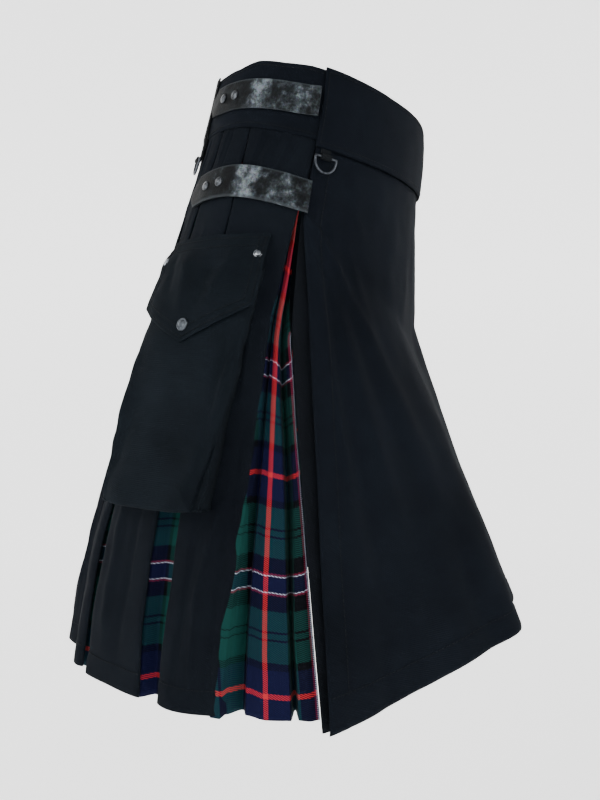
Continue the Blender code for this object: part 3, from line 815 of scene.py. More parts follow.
def checked_cloth():
    """Woven check of worsted yarn in 2/2 twill: warp and weft show half each, and it is nearly matt.

    The real rib is 0.8 mm; it is drawn at 1.5 mm so that it shows.
    """
    made, tree, shader = new_material("worsted_check_twill")
    half = sum(width for _, width in SETT) / 1000.0
    uv = add_node(tree, "ShaderNodeUVMap", {"uv_map": "cloth"}).outputs["UV"]
    wobble = add_node(tree, "ShaderNodeTexNoise", Vector=uv, Scale=60.0, Detail=2.0)
    shifted = add_node(
        tree, "ShaderNodeVectorMath", {"operation": "MULTIPLY_ADD"},
        i0=wobble.outputs["Color"], i1=(0.0008, 0.0008, 0.0), i2=uv,
    )
    split = add_node(tree, "ShaderNodeSeparateXYZ", Vector=shifted.outputs[0])
    warp = threads(tree, split.outputs["X"], half)
    weft = threads(tree, split.outputs["Y"], half)
    ribs = twill_wave(tree, uv, 0.0015)
    over = add_node(
        tree, "ShaderNodeMapRange", {"clamp": True},
        Value=ribs, From_Min=0.42, From_Max=0.58, To_Min=0.12, To_Max=0.88,
    )
    woven = add_node(
        tree, "ShaderNodeMix", {"data_type": "RGBA"}, i0=over.outputs[0], i6=weft, i7=warp,
    )
    bump = add_node(tree, "ShaderNodeBump", Strength=0.3, Distance=0.0003, Height=ribs)
    fill(
        tree, shader,
        Base_Color=woven.outputs[2], Normal=bump.outputs["Normal"], Roughness=0.78,
        Specular_IOR_Level=0.04, Sheen_Weight=0.01, Sheen_Roughness=0.4,
    )
    return made


def strap_leather():
    """Black cowhide, dyed and waxed: a fine pebble grain, dull, with grey smudges, painted highlights at set
    places along the strap, and worn edges.
    """
    made, tree, shader = new_material("waxed_black_leather")
    uv = add_node(tree, "ShaderNodeUVMap", {"uv_map": "cloth"}).outputs["UV"]
    place = add_node(tree, "ShaderNodeTexCoord").outputs["Object"]
    grain = add_node(tree, "ShaderNodeTexVoronoi", {"feature": "F1"}, Vector=place, Scale=620.0, Randomness=1.0)
    smudge = add_node(tree, "ShaderNodeTexNoise", Vector=place, Scale=95.0, Detail=8.0, Roughness=0.75)
    scuffs = add_node(tree, "ShaderNodeTexNoise", Vector=place, Scale=420.0, Detail=4.0, Roughness=0.7)
    split = add_node(tree, "ShaderNodeSeparateXYZ", Vector=uv)
    along = add_node(
        tree, "ShaderNodeMapRange", Value=split.outputs["X"],
        From_Min=-STRAP_LENGTH / 2.0, From_Max=STRAP_LENGTH / 2.0, To_Min=0.0, To_Max=1.0,
    )
    # Painted highlight: a lighter colour at set places along the strap, broken up by the smudge noise; the ramp's
    # brightest colours are reached only there
    highlight_stops = [(share, (light, light, light, 1.0)) for share, light in STRAP_PAINTED_HIGHLIGHTS]
    painted_highlight = ramp(tree, along.outputs[0], highlight_stops, "EASE")
    highlight_and_smudge = add_node(
        tree, "ShaderNodeMath", {"operation": "MULTIPLY_ADD"},
        i0=painted_highlight.outputs["Color"], i1=0.27, i2=smudge.outputs["Fac"],
    )
    base = ramp(
        tree, highlight_and_smudge.outputs[0],
        (
            (0.45, linear("#040506")), (0.59, linear("#111416")),
            (0.69, linear("#2b3034")), (0.83, linear("#5c6368")),
        ),
    )
    scuffed = add_node(
        tree, "ShaderNodeMix", {"data_type": "RGBA", "blend_type": "OVERLAY"},
        i0=0.5, i6=base.outputs["Color"], i7=scuffs.outputs["Color"],
    )
    edge = add_node(
        tree, "ShaderNodeMath", {"operation": "PINGPONG"}, i0=split.outputs["Y"], i1=STRAP_EDGE_MIRROR,
    )
    rim = add_node(
        tree, "ShaderNodeMapRange",
        Value=edge.outputs[0], From_Min=0.0002, From_Max=0.0022, To_Min=0.45, To_Max=0.0,
    )
    worn = add_node(
        tree, "ShaderNodeMix", {"data_type": "RGBA"},
        i0=rim.outputs[0], i6=scuffed.outputs[2], i7=linear("#34393d"),
    )
    gloss = add_node(
        tree, "ShaderNodeMapRange",
        Value=smudge.outputs["Fac"], From_Min=0.3, From_Max=0.75, To_Min=0.55, To_Max=0.70,
    )
    height = add_node(
        tree, "ShaderNodeMath", {"operation": "MULTIPLY_ADD"},
        i0=grain.outputs["Distance"], i1=0.7, i2=scuffs.outputs["Fac"],
    )
    bump = add_node(tree, "ShaderNodeBump", Strength=0.5, Distance=0.0005, Height=height.outputs[0])
    fill(
        tree, shader,
        Base_Color=worn.outputs[2], Roughness=gloss.outputs[0], Normal=bump.outputs["Normal"],
        Specular_IOR_Level=0.06,
    )
    return made


def antique_metal(name, light, dark):
    """Steel with an antique nickel finish, tumbled: dark in the hollows, brighter where it is worn."""
    made, tree, shader = new_material(name)
    place = add_node(tree, "ShaderNodeTexCoord").outputs["Object"]
    tarnish = add_node(tree, "ShaderNodeTexNoise", Vector=place, Scale=300.0, Detail=5.0, Roughness=0.6)
    base = ramp(tree, tarnish.outputs["Fac"], ((0.35, linear(dark)), (0.65, linear(light))))
    rough = add_node(
        tree, "ShaderNodeMapRange",
        Value=tarnish.outputs["Fac"], From_Min=0.3, From_Max=0.7, To_Min=0.28, To_Max=0.45,
    )
    bump = add_node(tree, "ShaderNodeBump", Strength=0.15, Distance=0.0001, Height=tarnish.outputs["Fac"])
    fill(
        tree, shader,
        Base_Color=base.outputs["Color"], Roughness=rough.outputs[0],
        Normal=bump.outputs["Normal"], Metallic=1.0,
    )
    return made


def sewing_thread():
    """Polyester thread, spun and dyed black: a shade paler than the cotton round it."""
    made, tree, shader = new_material("black_polyester_thread")
    place = add_node(tree, "ShaderNodeTexCoord").outputs["Object"]
    twist = add_node(tree, "ShaderNodeTexNoise", Vector=place, Scale=900.0, Detail=2.0)
    base = ramp(tree, twist.outputs["Fac"], ((0.35, linear("#07090b")), (0.65, linear("#101317"))))
    fill(
        tree, shader,
        Base_Color=base.outputs["Color"], Roughness=0.8, Specular_IOR_Level=0.08,
    )
    return made


def tab_cloth():
    """Black cotton tape, woven: matt, with ribs across the tape 1 mm apart."""
    made, tree, shader = new_material("black_cotton_tape")
    place = add_node(tree, "ShaderNodeTexCoord").outputs["Object"]
    ribs = add_node(
        tree, "ShaderNodeTexWave", {"wave_type": "BANDS", "bands_direction": "Z"},
        Vector=place, Scale=314.0, Distortion=0.5,
    )
    # Painted shade: the colour is darker in the grooves between the tape's ribs
    base = ramp(tree, ribs.outputs["Fac"], ((0.2, linear("#07090b")), (0.8, linear("#0e1114"))))
    bump = add_node(tree, "ShaderNodeBump", Strength=0.4, Distance=0.0002, Height=ribs.outputs["Fac"])
    fill(
        tree, shader,
        Base_Color=base.outputs["Color"], Normal=bump.outputs["Normal"], Roughness=0.9,
        Specular_IOR_Level=0.08,
    )
    return made


@functools.lru_cache(maxsize=None)
def finish(name):
    """Each finish of the kilt, made once."""
    makers = {
        "apron": lambda: twill_cloth("black_cotton_twill_apron", "#080b10", "#0e1218", 0.0),
        "pleat": lambda: twill_cloth("black_cotton_twill_pleats", "#090c11", "#0f1318", 1.7),
        "pocket": lambda: twill_cloth("black_cotton_twill_pockets", "#0a0e12", "#12171c", 3.1),
        # The under apron is the same black twill as the outer one. Its own copy has colours set for the narrow
        # strip that lies in the outer apron's shadow: a painted shade tone
        "under": lambda: twill_cloth("black_cotton_twill_under_shade_tone", "#0b0d10", "#111419", 5.3),
        "check": checked_cloth,
        "leather": strap_leather,
        "ring": lambda: antique_metal("antique_nickel_ring", "#4a4e54", "#26292d"),
        "stud": lambda: antique_metal("antique_nickel_strap_snap", "#595d62", "#121416"),
        "snap": lambda: antique_metal("antique_nickel_pocket_snap", "#50555b", "#2b2f33"),
        "rivet": lambda: antique_metal("antique_nickel_rivet", "#a0a5ab", "#70757b"),
        "tape": tab_cloth,
        "thread": sewing_thread,
    }
    return makers[name]()


def stitches(name, runs, pitch=0.0042, width=0.0007):
    """One piece with a row of stitches along each run, which is a list of points and outward directions."""
    length = bpy.context.scene.kilt_sizes.stitch
    sheet = bmesh.new()
    for run in runs:
        travelled = 0.0
        due = pitch / 2.0
        for (start, up), (end, _) in zip(run, run[1:]):
            step = (end - start).length
            while travelled + step >= due:
                ahead = (end - start).normalized()
                across = up.cross(ahead).normalized()
                middle = start + ahead * (due - travelled)
                turn = Matrix((ahead, across, up)).transposed().to_4x4()
                size = Matrix.Diagonal((length, width, 0.0004, 1.0))
                bmesh.ops.create_cube(sheet, size=1.0, matrix=Matrix.Translation(middle) @ turn @ size)
                due += pitch
            travelled += step
    made = object_from(name, sheet, finish("thread"))
    return dress(made, ())


def run_on(panel, places, lift=0.0003, splits=24):
    """Points on a panel's finished surface along straight lines between places, given as two shares."""
    points = []
    for (u0, v0), (u1, v1) in zip(places, places[1:]):
        for step in range(splits):
            share = step / splits
            points.append(panel.on(blend(u0, u1, share), blend(v0, v1, share), lift))
    points.append(panel.on(*places[-1], lift))
    return points


def front_band_proud(angle):
    past = (right_angle_of(angle) - APRON_EDGE_ANGLE - BAND_LAP_ANGLE) / BAND_LAP_ANGLE
    return blend(BAND_PROUD + LAY_GAP, LAY_GAP, ease(past)) + BAND_WALL


def waist_wave(angle, v):
    """Rise of a band at an angle, all of it at its top edge and none at its seam."""
    return straight_along_table(WAIST_WAVE, right_angle_of(angle), 1) * (1.0 - v)


def front_band_place(u, v):
    edge = APRON_EDGE_ANGLE - FRONT_BAND_OVERHANG
    angle = blend(180.0 - edge, edge, 1.0 - u)
    height = waist_height(angle) - v * APRON_BAND_DEPTH + waist_wave(angle, v)
    return on_body(angle, height, front_band_proud(angle))


def band_relief(seed):
    """Soft unevenness of a doubled, stitched band, pulled in a little along its stitched edges."""
    def relief(u, v, width, length):
        across, along = u * width, v * length
        edge = min(v, 1.0 - v) * length
        pulled = -0.0005 * math.exp(-((edge - STITCH_INSET) / 0.0022) ** 2)
        rounded = -0.0008 * math.exp(-edge / 0.0012)
        worn = ripple(across, along, seed, 0.060, 0.0011) + ripple(across, along, seed + 3, 0.020, 0.0004)
        return pulled + rounded + worn
    return relief


def back_band_place(u, v):
    lap = APRON_EDGE_ANGLE + BAND_LAP_ANGLE
    angle = blend(-180.0 - lap, lap, u)
    height = blend(waist_height(angle) - BACK_BAND_TOP_DROP, waist_height(angle) - BACK_BAND_DEPTH, v)
    return on_body(angle, height + waist_wave(angle, v), BAND_PROUD)


@functools.lru_cache(maxsize=None)
def apron_knots(v):
    """Points of the apron's lines at a share down, from its right edge to its left, with one beyond each end."""
    right = [apron_line_point(row, v, 1.0) for row in APRON_LINES]
    left = []
    for index, row in enumerate(APRON_LINES[:-1]):
        reach = blend(1.0, LEFT_THIGH_REACH, ease(index / 2.0))
        point = apron_line_point(row, v, reach)
        left.append(Vector((-point.x, point.y, point.z)))
    knots = right + left[::-1]
    return [knots[0] * 2.0 - knots[1]] + knots + [knots[-1] * 2.0 - knots[-2]]


def soft_ramp(length):
    return (length + math.sqrt(length * length + CREASE_SOFTNESS * CREASE_SOFTNESS)) / 2.0


def apron_line_point(row, v, reach):
    """Point on one of the apron's lines: down the hip to its crease, then straight to the hem."""
    angle, out, crease_x, crease_y, crease_z, hem_x, hem_y, hem_z = row
    hem_z -= APRON_HEM_DROP
    top = on_body(angle, waist_height(angle) - APRON_BAND_DEPTH - SEAM_GAP, out)
    crease = Vector((crease_x, crease_y, crease_z))
    hem = Vector((hem_x, blend(crease_y, hem_y, reach), hem_z))
    if v < CREASE_SHARE:
        height = blend(top.z, crease_z, v / CREASE_SHARE)
    else:
        height = blend(crease_z, hem_z, (v - CREASE_SHARE) / (1.0 - CREASE_SHARE))
    above = soft_ramp(height - crease_z) / soft_ramp(top.z - crease_z)
    below = soft_ramp(crease_z - height) / soft_ramp(crease_z - hem_z)
    point = crease + (top - crease) * above + (hem - crease) * below
    point.z = height
    return point


def apron_place(u, v):
    ends = apron_knots(round(v, 5))
    spans = len(ends) - 3
    index = min(int(u * spans), spans - 1)
    return smooth_between(*ends[index:index + 4], u * spans - index)


def fan_height(u, v):
    """Height of the soft folds that fan out from each hip."""
    share = min(u, 1.0 - u)
    total = 0.0
    for at_hip, at_hem, width, height, first, last in FAN_FOLDS:
        along = (v - first) / (last - first)
        if 0.0 < along < 1.0:
            middle = blend(at_hip, at_hem, along)
            away = (share - middle) / (width * blend(0.5, 1.3, along))
            total += height * math.sin(math.pi * along) * math.exp(-away * away)
    return total


def turned_edge(distance, turn):
    """Step of a turned-in edge: the cloth is doubled from the edge in to its row of stitches."""
    return -0.0006 * ease((distance - turn) / 0.002) - 0.0005 * math.exp(-((distance - turn) / 0.0016) ** 2)


def apron_relief(u, v, width, length):
    across, along = u * APRON_CREASE_SPAN, v * length
    sides_in = min(u, 1.0 - u) * width
    hem_in = (1.0 - v) * length
    gathered = ease(along / 0.03)
    edge = -0.0010 * math.exp(-sides_in / 0.0016) - 0.0010 * math.exp(-hem_in / 0.0016)
    hem_wave = 0.0028 * ease((v - 0.55) / 0.45) * math.sin(across * 52.0 + 0.8) * math.sin(across * 19.0)
    return (
        fan_height(u, v) * gathered
        + creases_height(APRON_CREASES, across, along)
        + turned_edge(sides_in, APRON_EDGE_TURN)
        + turned_edge(hem_in, APRON_HEM_TURN)
        + edge + hem_wave
        + ripple(across, along, 11.0, 0.085, 0.0030) * gathered
        + ripple(across, along, 17.0, 0.028, 0.0008)
    )


def under_apron_place(u, v):
    """The inner apron, a wall's width inside the outer one, with its edges on the side seams."""
    share = 2.0 * abs(u - 0.5)
    step = SLOPE_STEP
    across = apron_place(min(u + step, 1.0), v) - apron_place(max(u - step, 0.0), v)
    down = apron_place(u, min(v + step, 1.0)) - apron_place(u, max(v - step, 0.0))
    inner = apron_place(u, v) - down.cross(across).normalized() * under_gap(v)
    height = apron_place(0.0, v).z
    edge = on_body(side_seam_angle(v) + SEAM_ANGLE, height, -under_gap(v))
    if u > 0.5:
        edge = Vector((-edge.x, edge.y, edge.z))
    return inner.lerp(edge, ease((share - 0.90) / 0.10))


def plain_relief(seed, size=0.050, height=0.0012):
    def relief(u, v, width, length):
        return ripple(u * width, v * length, seed, size, height) * ease(v / 0.15)
    return relief


def pleat_place(row):
    def place(u, v):
        back, front = pleat_edges(row, v)
        angle = blend(back, front, u)
        height = blend(seam_height(angle) + PLEAT_TOP_TUCK, hem_height(angle), v)
        return on_body(angle, height, pleat_swell(u, v))
    return place


def pleat_relief(row, seed):
    """Pressed edges, a turned hem, listed creases and a little sway towards the hem."""
    creases, span = PLEAT_CREASES[row[0]]

    def relief(u, v, width, length):
        across, along = u * span, v * length
        side = min(u, 1.0 - u) * width
        hem_in = (1.0 - v) * length
        pressed = -0.0016 * math.exp(-side / 0.0020)
        sway = 0.0030 * ease((v - 0.35) / 0.65) * math.sin(u * 5.1 + seed)
        return (
            pressed + sway
            + creases_height(creases, across, along) * ease(v / 0.014)
            + turned_edge(hem_in, PLEAT_HEM_TURN)
            + ripple(across, along, seed, 0.050, 0.0018) * ease(v / 0.1)
            + ripple(across, along, seed + 5.0, 0.018, 0.0006)
        )
    return relief


def insert_point(angle, down, inwards):
    top = seam_height(angle) - SEAM_GAP
    height = blend(top, hem_height(angle) - INSERT_HEM_DROP, down)
    return on_body(angle, height, -inwards)


def narrow_insert_place(behind, ahead):
    def place(u, v):
        down = blend(INSERT_START, 1.0, v)
        _, far = pleat_edges(ahead, down)
        near, _ = pleat_edges(behind, down)
        angle = blend(far - UNDERLAP_ANGLE, near + UNDERLAP_ANGLE, u)
        depth = PLEAT_WALL + INSERT_GAP + VALLEY_DEPTH * down * along_table(NARROW_FOLDS, u, 1)
        return insert_point(angle, down, depth)
    return place


def wide_insert_share(u):
    """Share of the opening at a share across the insert, which starts behind the pleat."""
    return (u - WIDE_UNDERLAP_SHARE) / (1.0 - WIDE_UNDERLAP_SHARE)


def wide_insert_edges(v):
    """Angles of the opening's two edges: the pleat's front edge and the side seam."""
    down = blend(SIDE_INSERT_START, 1.0, v)
    seam = side_seam_angle(down)
    _, front = pleat_edges(PLEAT_ROWS[0], down)
    return down, min(front, seam - NARROWEST_INSERT), seam


def level_share(share, v):
    """Share of the opening at which the folds' table has what lies at this share and this far down."""
    turns = [straight_along_table(SIDE_INSERT_TURNS, v, column) for column in (1, 2, 3)]
    return float(np.interp(share, [0.0] + turns + [1.0], (0.0,) + SIDE_INSERT_LEVEL + (1.0,)))


def wide_insert_place(u, v):
    down, edge, seam = wide_insert_edges(v)
    inner = PLEAT_WALL + INSERT_GAP
    share = wide_insert_share(u)
    if share < 0.0:
        return insert_point(edge + UNDERLAP_ANGLE * share / WIDE_UNDERLAP_REACH, down, inner)
    depth = along_table(SIDE_INSERT_FOLDS, level_share(share, v), 1) * blend(0.45, 1.0, down)
    fold = straight_along_table(SIDE_INSERT_TURNS, v, 2)
    tucked = SIDE_INSERT_TUCK_DEPTH * ease((SIDE_INSERT_TUCK_AND_SHADE_END - v) / 0.10) * ease((share - fold) / 0.20)
    open_depth = (depth + tucked) * ease(v / 0.1)
    return insert_point(blend(edge, seam, share), down, max(inner, under_gap(down)) + open_depth)


def wide_insert_chart(u, v):
    """Place in the check, in metres: its red line and its white line keep to the fold and to the seam, but near
    the top the check is slid so that its black bar lies by the seam, as painted shade.
    """
    down, edge, seam = wide_insert_edges(v)
    share = wide_insert_share(u)
    opening = (insert_point(seam, down, 0.0) - insert_point(edge, down, 0.0)).length
    red, fold, fold_end = (straight_along_table(SIDE_INSERT_TURNS, v, column) for column in (1, 2, 3))
    slack = SIDE_INSERT_SLACK * ease((SIDE_INSERT_VALLEY - share) / 0.05)
    before = (min(share, fold) - red) * opening - slack
    # Painted shade: near the top the check slides so that its black bar, not its crimson and white lines, lies by
    # the seam
    shade_shift = SIDE_INSERT_SEAM_SHADE_SHIFT * ease((SIDE_INSERT_TUCK_AND_SHADE_END - v) / 0.03)
    after = SIDE_INSERT_SEAM_LINE - shade_shift - (1.0 - max(share, fold_end)) * opening
    across = blend(before, after, min(max((share - fold) / (fold_end - fold), 0.0), 1.0))
    drop = along_table(SIDE_INSERT_FOLDS, level_share(max(share, 0.0), v), 2) * blend(1.5, 1.0, v)
    return across, RED_LINE_HEIGHT - wide_insert_place(u, v).z + CHECK_OFFSET - drop


def narrow_insert_chart(place, shift):
    def chart(u, v):
        across = straight_along_table(NARROW_FOLDS, u, 2) + shift
        return across / 1000.0, RED_LINE_HEIGHT - place(u, v).z + CHECK_OFFSET
    return chart


def strap_place(row):
    name, rear, front, rear_drop, middle_drop, front_drop, width = row
    proud = STRAP_WALL + STRAP_GAP + (BAND_PROUD if name == "upper" else 0.0)

    def place(u, v):
        angle = blend(rear, front, u)
        top = waist_height(angle) - through_three(rear_drop, middle_drop, front_drop, u)
        lift = STRAP_FRONT_LIFT * max(0.0, 1.0 - (1.0 - u) * STRAP_COLUMNS)
        tip = max(0.0, 1.0 - u * STRAP_COLUMNS)
        inset = width * STRAP_END_ROUND * tip
        return on_body(angle, blend(top - inset, top - width + inset, v), proud + lift)
    return place


def strap_relief(width, seed):
    """Skived edges, a creased line along them, and the soft bends of worn leather."""
    def relief(u, v, _, length):
        across, along = u * STRAP_LENGTH, v * length
        edge = min(v, 1.0 - v) * width
        line = -0.0004 * math.exp(-((edge - 0.0026) / 0.0007) ** 2)
        skived = -0.0006 * math.exp(-edge / 0.0010)
        bends = ripple(across, along, seed, 0.022, 0.0007) + ripple(across, along, seed, 0.008, 0.0002)
        return line + skived + bends
    return relief


def arc_angle(length, angle, height):
    """Degrees that a length takes up round the body near an angle at a height."""
    return length / (on_body(angle + 0.5, height) - on_body(angle - 0.5, height)).length


def pocket_depth(height):
    """How far the bag's front stands off the cloth behind it."""
    share = min(max((POCKET_TOP - height) / (POCKET_TOP - POCKET_BOTTOM), 0.0), 1.0)
    return blend(POCKET_DEPTH_TOP, POCKET_DEPTH_BOTTOM, math.sin(share * math.pi / 2.0))


def pocket_place(u, v):
    """Bag with boxed sides: its outline across is a squared half oval, and it closes at its foot."""
    height = blend(POCKET_TOP, POCKET_BOTTOM, min(v / POCKET_FOOT_SHARE, 1.0))
    middle = blend(*POCKET_MIDDLE_ANGLES, min(v / POCKET_FOOT_SHARE, 1.0))
    half = arc_angle(POCKET_WIDTH, middle, height) / 2.0
    turn = math.pi * (1.0 - u)
    across = math.copysign(abs(math.cos(turn)) ** POCKET_SQUARENESS, math.cos(turn))
    rise = max(math.sin(turn), 0.0) ** POCKET_SQUARENESS
    foot = max(0.0, v - POCKET_FOOT_SHARE) / (1.0 - POCKET_FOOT_SHARE)
    closing = (1.0 - foot ** 3.0)
    angle = middle + half * across
    out = pleats_out(angle, height) + LAY_GAP + (pocket_depth(height) - LAY_GAP) * rise * closing
    return on_body(angle, height - 0.003 * foot ** 2.0, out)


def pocket_relief(seed):
    def relief(u, v, _, length):
        across, along = u * POCKET_CREASE_SPAN, v * length
        return (
            creases_height(POCKET_CREASES, across, along)
            + ripple(across, along, seed, 0.045, 0.0034) * ease(v / 0.3)
            + ripple(across, along, seed + 4.0, 0.016, 0.0010)
        )
    return relief


def flap_low(u):
    return blend(FLAP_TIP, FLAP_SIDE, abs(2.0 * u - 1.0))


def flap_place(u, v):
    height = blend(FLAP_TOP, flap_low(u), v)
    middle = blend(*FLAP_MIDDLE_ANGLES, v)
    half = arc_angle(FLAP_WIDTH, middle, height) / 2.0
    point_shift = FLAP_TIP_SHIFT * v * (1.0 - abs(2.0 * u - 1.0))
    angle = middle + blend(-half, half, u) + point_shift
    over = ease((FLAP_TOP - height) / FLAP_SEWN)
    lift = blend(LAY_GAP, pocket_depth(height) + 2.0 * LAY_GAP, over)
    return on_body(angle, height, pleats_out(angle, height) + lift + FLAP_WALL)


def flap_relief(seed):
    def relief(u, v, width, length):
        across, along = u * width, v * length
        side = min(u, 1.0 - u) * FLAP_WIDTH
        low = (1.0 - v) * (FLAP_TOP - flap_low(u))
        top = v * (FLAP_TOP - flap_low(u))
        edge = min(side, low)
        rows = math.exp(-((edge - 0.0040) / 0.0010) ** 2) + math.exp(-((edge - 0.0100) / 0.0010) ** 2)
        head = math.exp(-((top - 0.0040) / 0.0010) ** 2) + math.exp(-((top - 0.0120) / 0.0010) ** 2)
        return (
            creases_height(FLAP_CREASES, across, along)
            - 0.0004 * (rows + head)
            - 0.0009 * math.exp(-edge / 0.0012)
            + ripple(across, along, seed, 0.035, 0.0016) * ease(v / 0.3)
            + ripple(across, along, seed + 2.0, 0.014, 0.0005)
        )
    return relief


def node_points(node):
    return [vert.co.copy() for vert in frame["nodes"][node].data.vertices]


def dome_frame(node):
    """Foot and outward direction of a round head, from the solid: the axis is where its points spread least."""
    points = np.array(node_points(node))
    middle = points.mean(axis=0)
    _, _, axes = np.linalg.svd(points - middle)
    axis = axes[2]
    if axis[0] * middle[0] + axis[1] * middle[1] < 0.0:
        axis = -axis
    rise = (points - middle) @ axis
    across = np.linalg.norm((points - middle) - np.outer(rise, axis), axis=1).max()
    foot = middle + axis * rise.min()
    return Vector(foot), Vector(axis), float(across), float(rise.max() - rise.min())


def round_head(node, coat):
    """Snap or rivet cap: a rolled rim, a shallow groove and a domed middle, spun about its axis."""
    foot, outwards, radius, height = dome_frame(node)
    profile = (
        (0.00, 1.00), (0.22, 0.98), (0.42, 0.90), (0.58, 0.72), (0.66, 0.60),
        (0.74, 0.66), (0.86, 0.66), (0.96, 0.45), (1.00, 0.20), (1.00, 0.00), (0.00, 0.00),
    )
    sheet = bmesh.new()
    verts = [sheet.verts.new((share * radius, 0.0, rise * height)) for share, rise in profile]
    edges = [sheet.edges.new(pair) for pair in zip(verts, verts[1:])]
    bmesh.ops.spin(
        sheet, geom=verts + edges, cent=(0, 0, 0), axis=(0, 0, 1), angle=math.tau, steps=28, use_merge=True,
    )
    bmesh.ops.remove_doubles(sheet, verts=sheet.verts[:], dist=0.00001)
    bmesh.ops.recalc_face_normals(sheet, faces=sheet.faces[:])
    turn = outwards.to_track_quat("Z", "Y").to_matrix().to_4x4()
    bmesh.ops.transform(sheet, matrix=Matrix.Translation(foot) @ turn, verts=sheet.verts[:])
    for face in sheet.faces:
        face.smooth = True
    made = object_from(node + "_cap", sheet, finish(coat))
    return dress(made, (node,))


def ring_piece(joint):
    """D-shaped ring bent from round wire, on its hinge's axis, with its join at the middle of the bar."""
    node = joint["child"]
    centre = Vector(joint["pos_m"])
    along = Vector(joint["axis"]).normalized()
    points = node_points(node)
    hang = sum(points, Vector()) / len(points) - centre
    down = (hang - along * hang.dot(along)).normalized()
    half = RING_WIDTH / 2.0
    curve = bpy.data.curves.new(node + "_wire", "CURVE")
    curve.dimensions = "3D"
    curve.bevel_depth = RING_WIRE
    curve.bevel_resolution = 4
    line = curve.splines.new("POLY")
    path = [Vector((x, 0.0)) for x in np.linspace(-half, half, 9)]
    for turn in np.linspace(0.0, math.pi, 37)[1:-1]:
        path.append(Vector((half * math.cos(turn), RING_DROP * math.sin(turn) ** 0.8)))
    line.points.add(len(path) - 1)
    for spot, point in zip(line.points, path):
        spot.co = (*(centre + along * point.x + down * point.y), 1.0)
    line.use_cyclic_u = True
    curve.materials.append(finish("ring"))
    made = bpy.data.objects.new(node + "_wire", curve)
    bpy.context.scene.collection.objects.link(made)
    return dress(made, (node,), node)


class KiltSizes(bpy.types.PropertyGroup):
    cloth: bpy.props.FloatProperty(
        name="Twill", description="Thickness of the black cotton", default=0.0011, unit="LENGTH",
    )
    check: bpy.props.FloatProperty(
        name="Check", description="Thickness of the checked cloth", default=0.0010, unit="LENGTH",
    )
    stitch: bpy.props.FloatProperty(
        name="Stitch", description="Length of one top stitch", default=0.0030, unit="LENGTH",
    )
    inset: bpy.props.FloatProperty(
        name="Inset", description="Distance of the top stitching from an edge", default=STITCH_INSET,
        unit="LENGTH",
    )


class KiltColours(bpy.types.PropertyGroup):
    floor: bpy.props.FloatVectorProperty(
        name="Floor", description="Colour of the studio floor and backdrop", subtype="COLOR", size=4,
        default=linear("#e6e6e6"), min=0.0, max=1.0,
    )
    lamp: bpy.props.FloatVectorProperty(
        name="Lamp", description="Colour of the studio lamps", subtype="COLOR", size=3,
        default=linear("#fffaf4")[:3], min=0.0, max=1.0,
    )


class KILT_OT_waistbands(bpy.types.Operator):
    """Make the apron's band and the band that carries the pleats, with their top stitching"""
    bl_idname = "kilt.waistbands"
    bl_label = "Waistbands"

    def execute(self, context):
        inset = context.scene.kilt_sizes.inset
        bands = (
            ("waistband_front", front_band_place, FRONT_BAND_FLAT, 170, 21.0),
            ("waistband_back", back_band_place, BACK_BAND_FLAT, 240, 33.0),
        )
        for node, place, flat, columns, seed in bands:
            panel = Panel(place, band_relief(seed), flat)
            piece = panel_mesh(node + "_cloth", panel, columns, 28, finish("apron"))
            thicken(piece, BAND_WALL - LAY_GAP, 0.0008)
            dress(piece, (node,))
            cut(flat)
            side = inset / flat[1]
            edge = inset / flat[3]
            runs = [
                run_on(panel, ((side, v), (0.5, v), (1.0 - side, v)), splits=70) for v in (edge, 1.0 - edge)
            ]
            runs += [run_on(panel, ((u, edge), (u, 1.0 - edge))) for u in (side, 1.0 - side)]
            stitches(node + "_stitches", runs)
        return {"FINISHED"}


class KILT_OT_aprons(bpy.types.Operator):
    """Make the outer apron with its creases, and the inner apron whose edge shows beside it"""
    bl_idname = "kilt.aprons"
    bl_label = "Aprons"

    def execute(self, context):
        sizes = context.scene.kilt_sizes
        outer = Panel(apron_place, apron_relief, APRON_FLAT)
        piece = panel_mesh("apron_outer_cloth", outer, 200, 170, finish("apron"))
        thicken(piece, sizes.cloth)
        dress(piece, ("apron_outer",))
        cut(APRON_FLAT)
        hem = 1.0 - APRON_HEM_TURN / APRON_FLAT[3]
        edge = [(APRON_EDGE_TURN / outer.width(v), v) for v in np.linspace(0.01, hem, 71)]
        runs = [run_on(outer, edge, splits=2), run_on(outer, [(1.0 - u, v) for u, v in edge], splits=2)]
        runs.append(run_on(outer, ((0.005, hem), (0.995, hem)), splits=160))
        stitches("apron_outer_stitches", runs)
        under = Panel(under_apron_place, plain_relief(41.0, height=0.0002), APRON_FLAT)
        piece = panel_mesh("apron_under_cloth", under, 90, 80, finish("under"))
        thicken(piece, sizes.cloth)
        dress(piece, ("apron_under",))
        cut(APRON_FLAT)
        return {"FINISHED"}


class KILT_OT_pleats(bpy.types.Operator):
    """Make the black faces of the box pleats"""
    bl_idname = "kilt.pleats"
    bl_label = "Pleats"

    def execute(self, context):
        sizes = context.scene.kilt_sizes
        for index, (row, flat) in enumerate(zip(PLEAT_ROWS, PLEAT_FLAT)):
            for side, left in sides():
                if row[0] == "f" and left:
                    continue
                node = "pleat_back_middle" if row[0] == "f" else "pleat_%s_%s" % (side, row[0])
                seed = 50.0 + index * 2.0 + (23.0 if left else 0.0)
                panel = Panel(pleat_place(row), pleat_relief(row, seed), flat[1:], left)
                piece = panel_mesh(node + "_cloth", panel, 40, 130, finish("pleat"))
                thicken(piece, sizes.cloth)
                dress(piece, (node,))
                cut(flat[1:])
                hem = 1.0 - PLEAT_HEM_TURN / flat[4]
                run = run_on(panel, ((0.02, hem), (0.98, hem)), splits=40)
                stitches(node + "_stitches", [run])
        return {"FINISHED"}


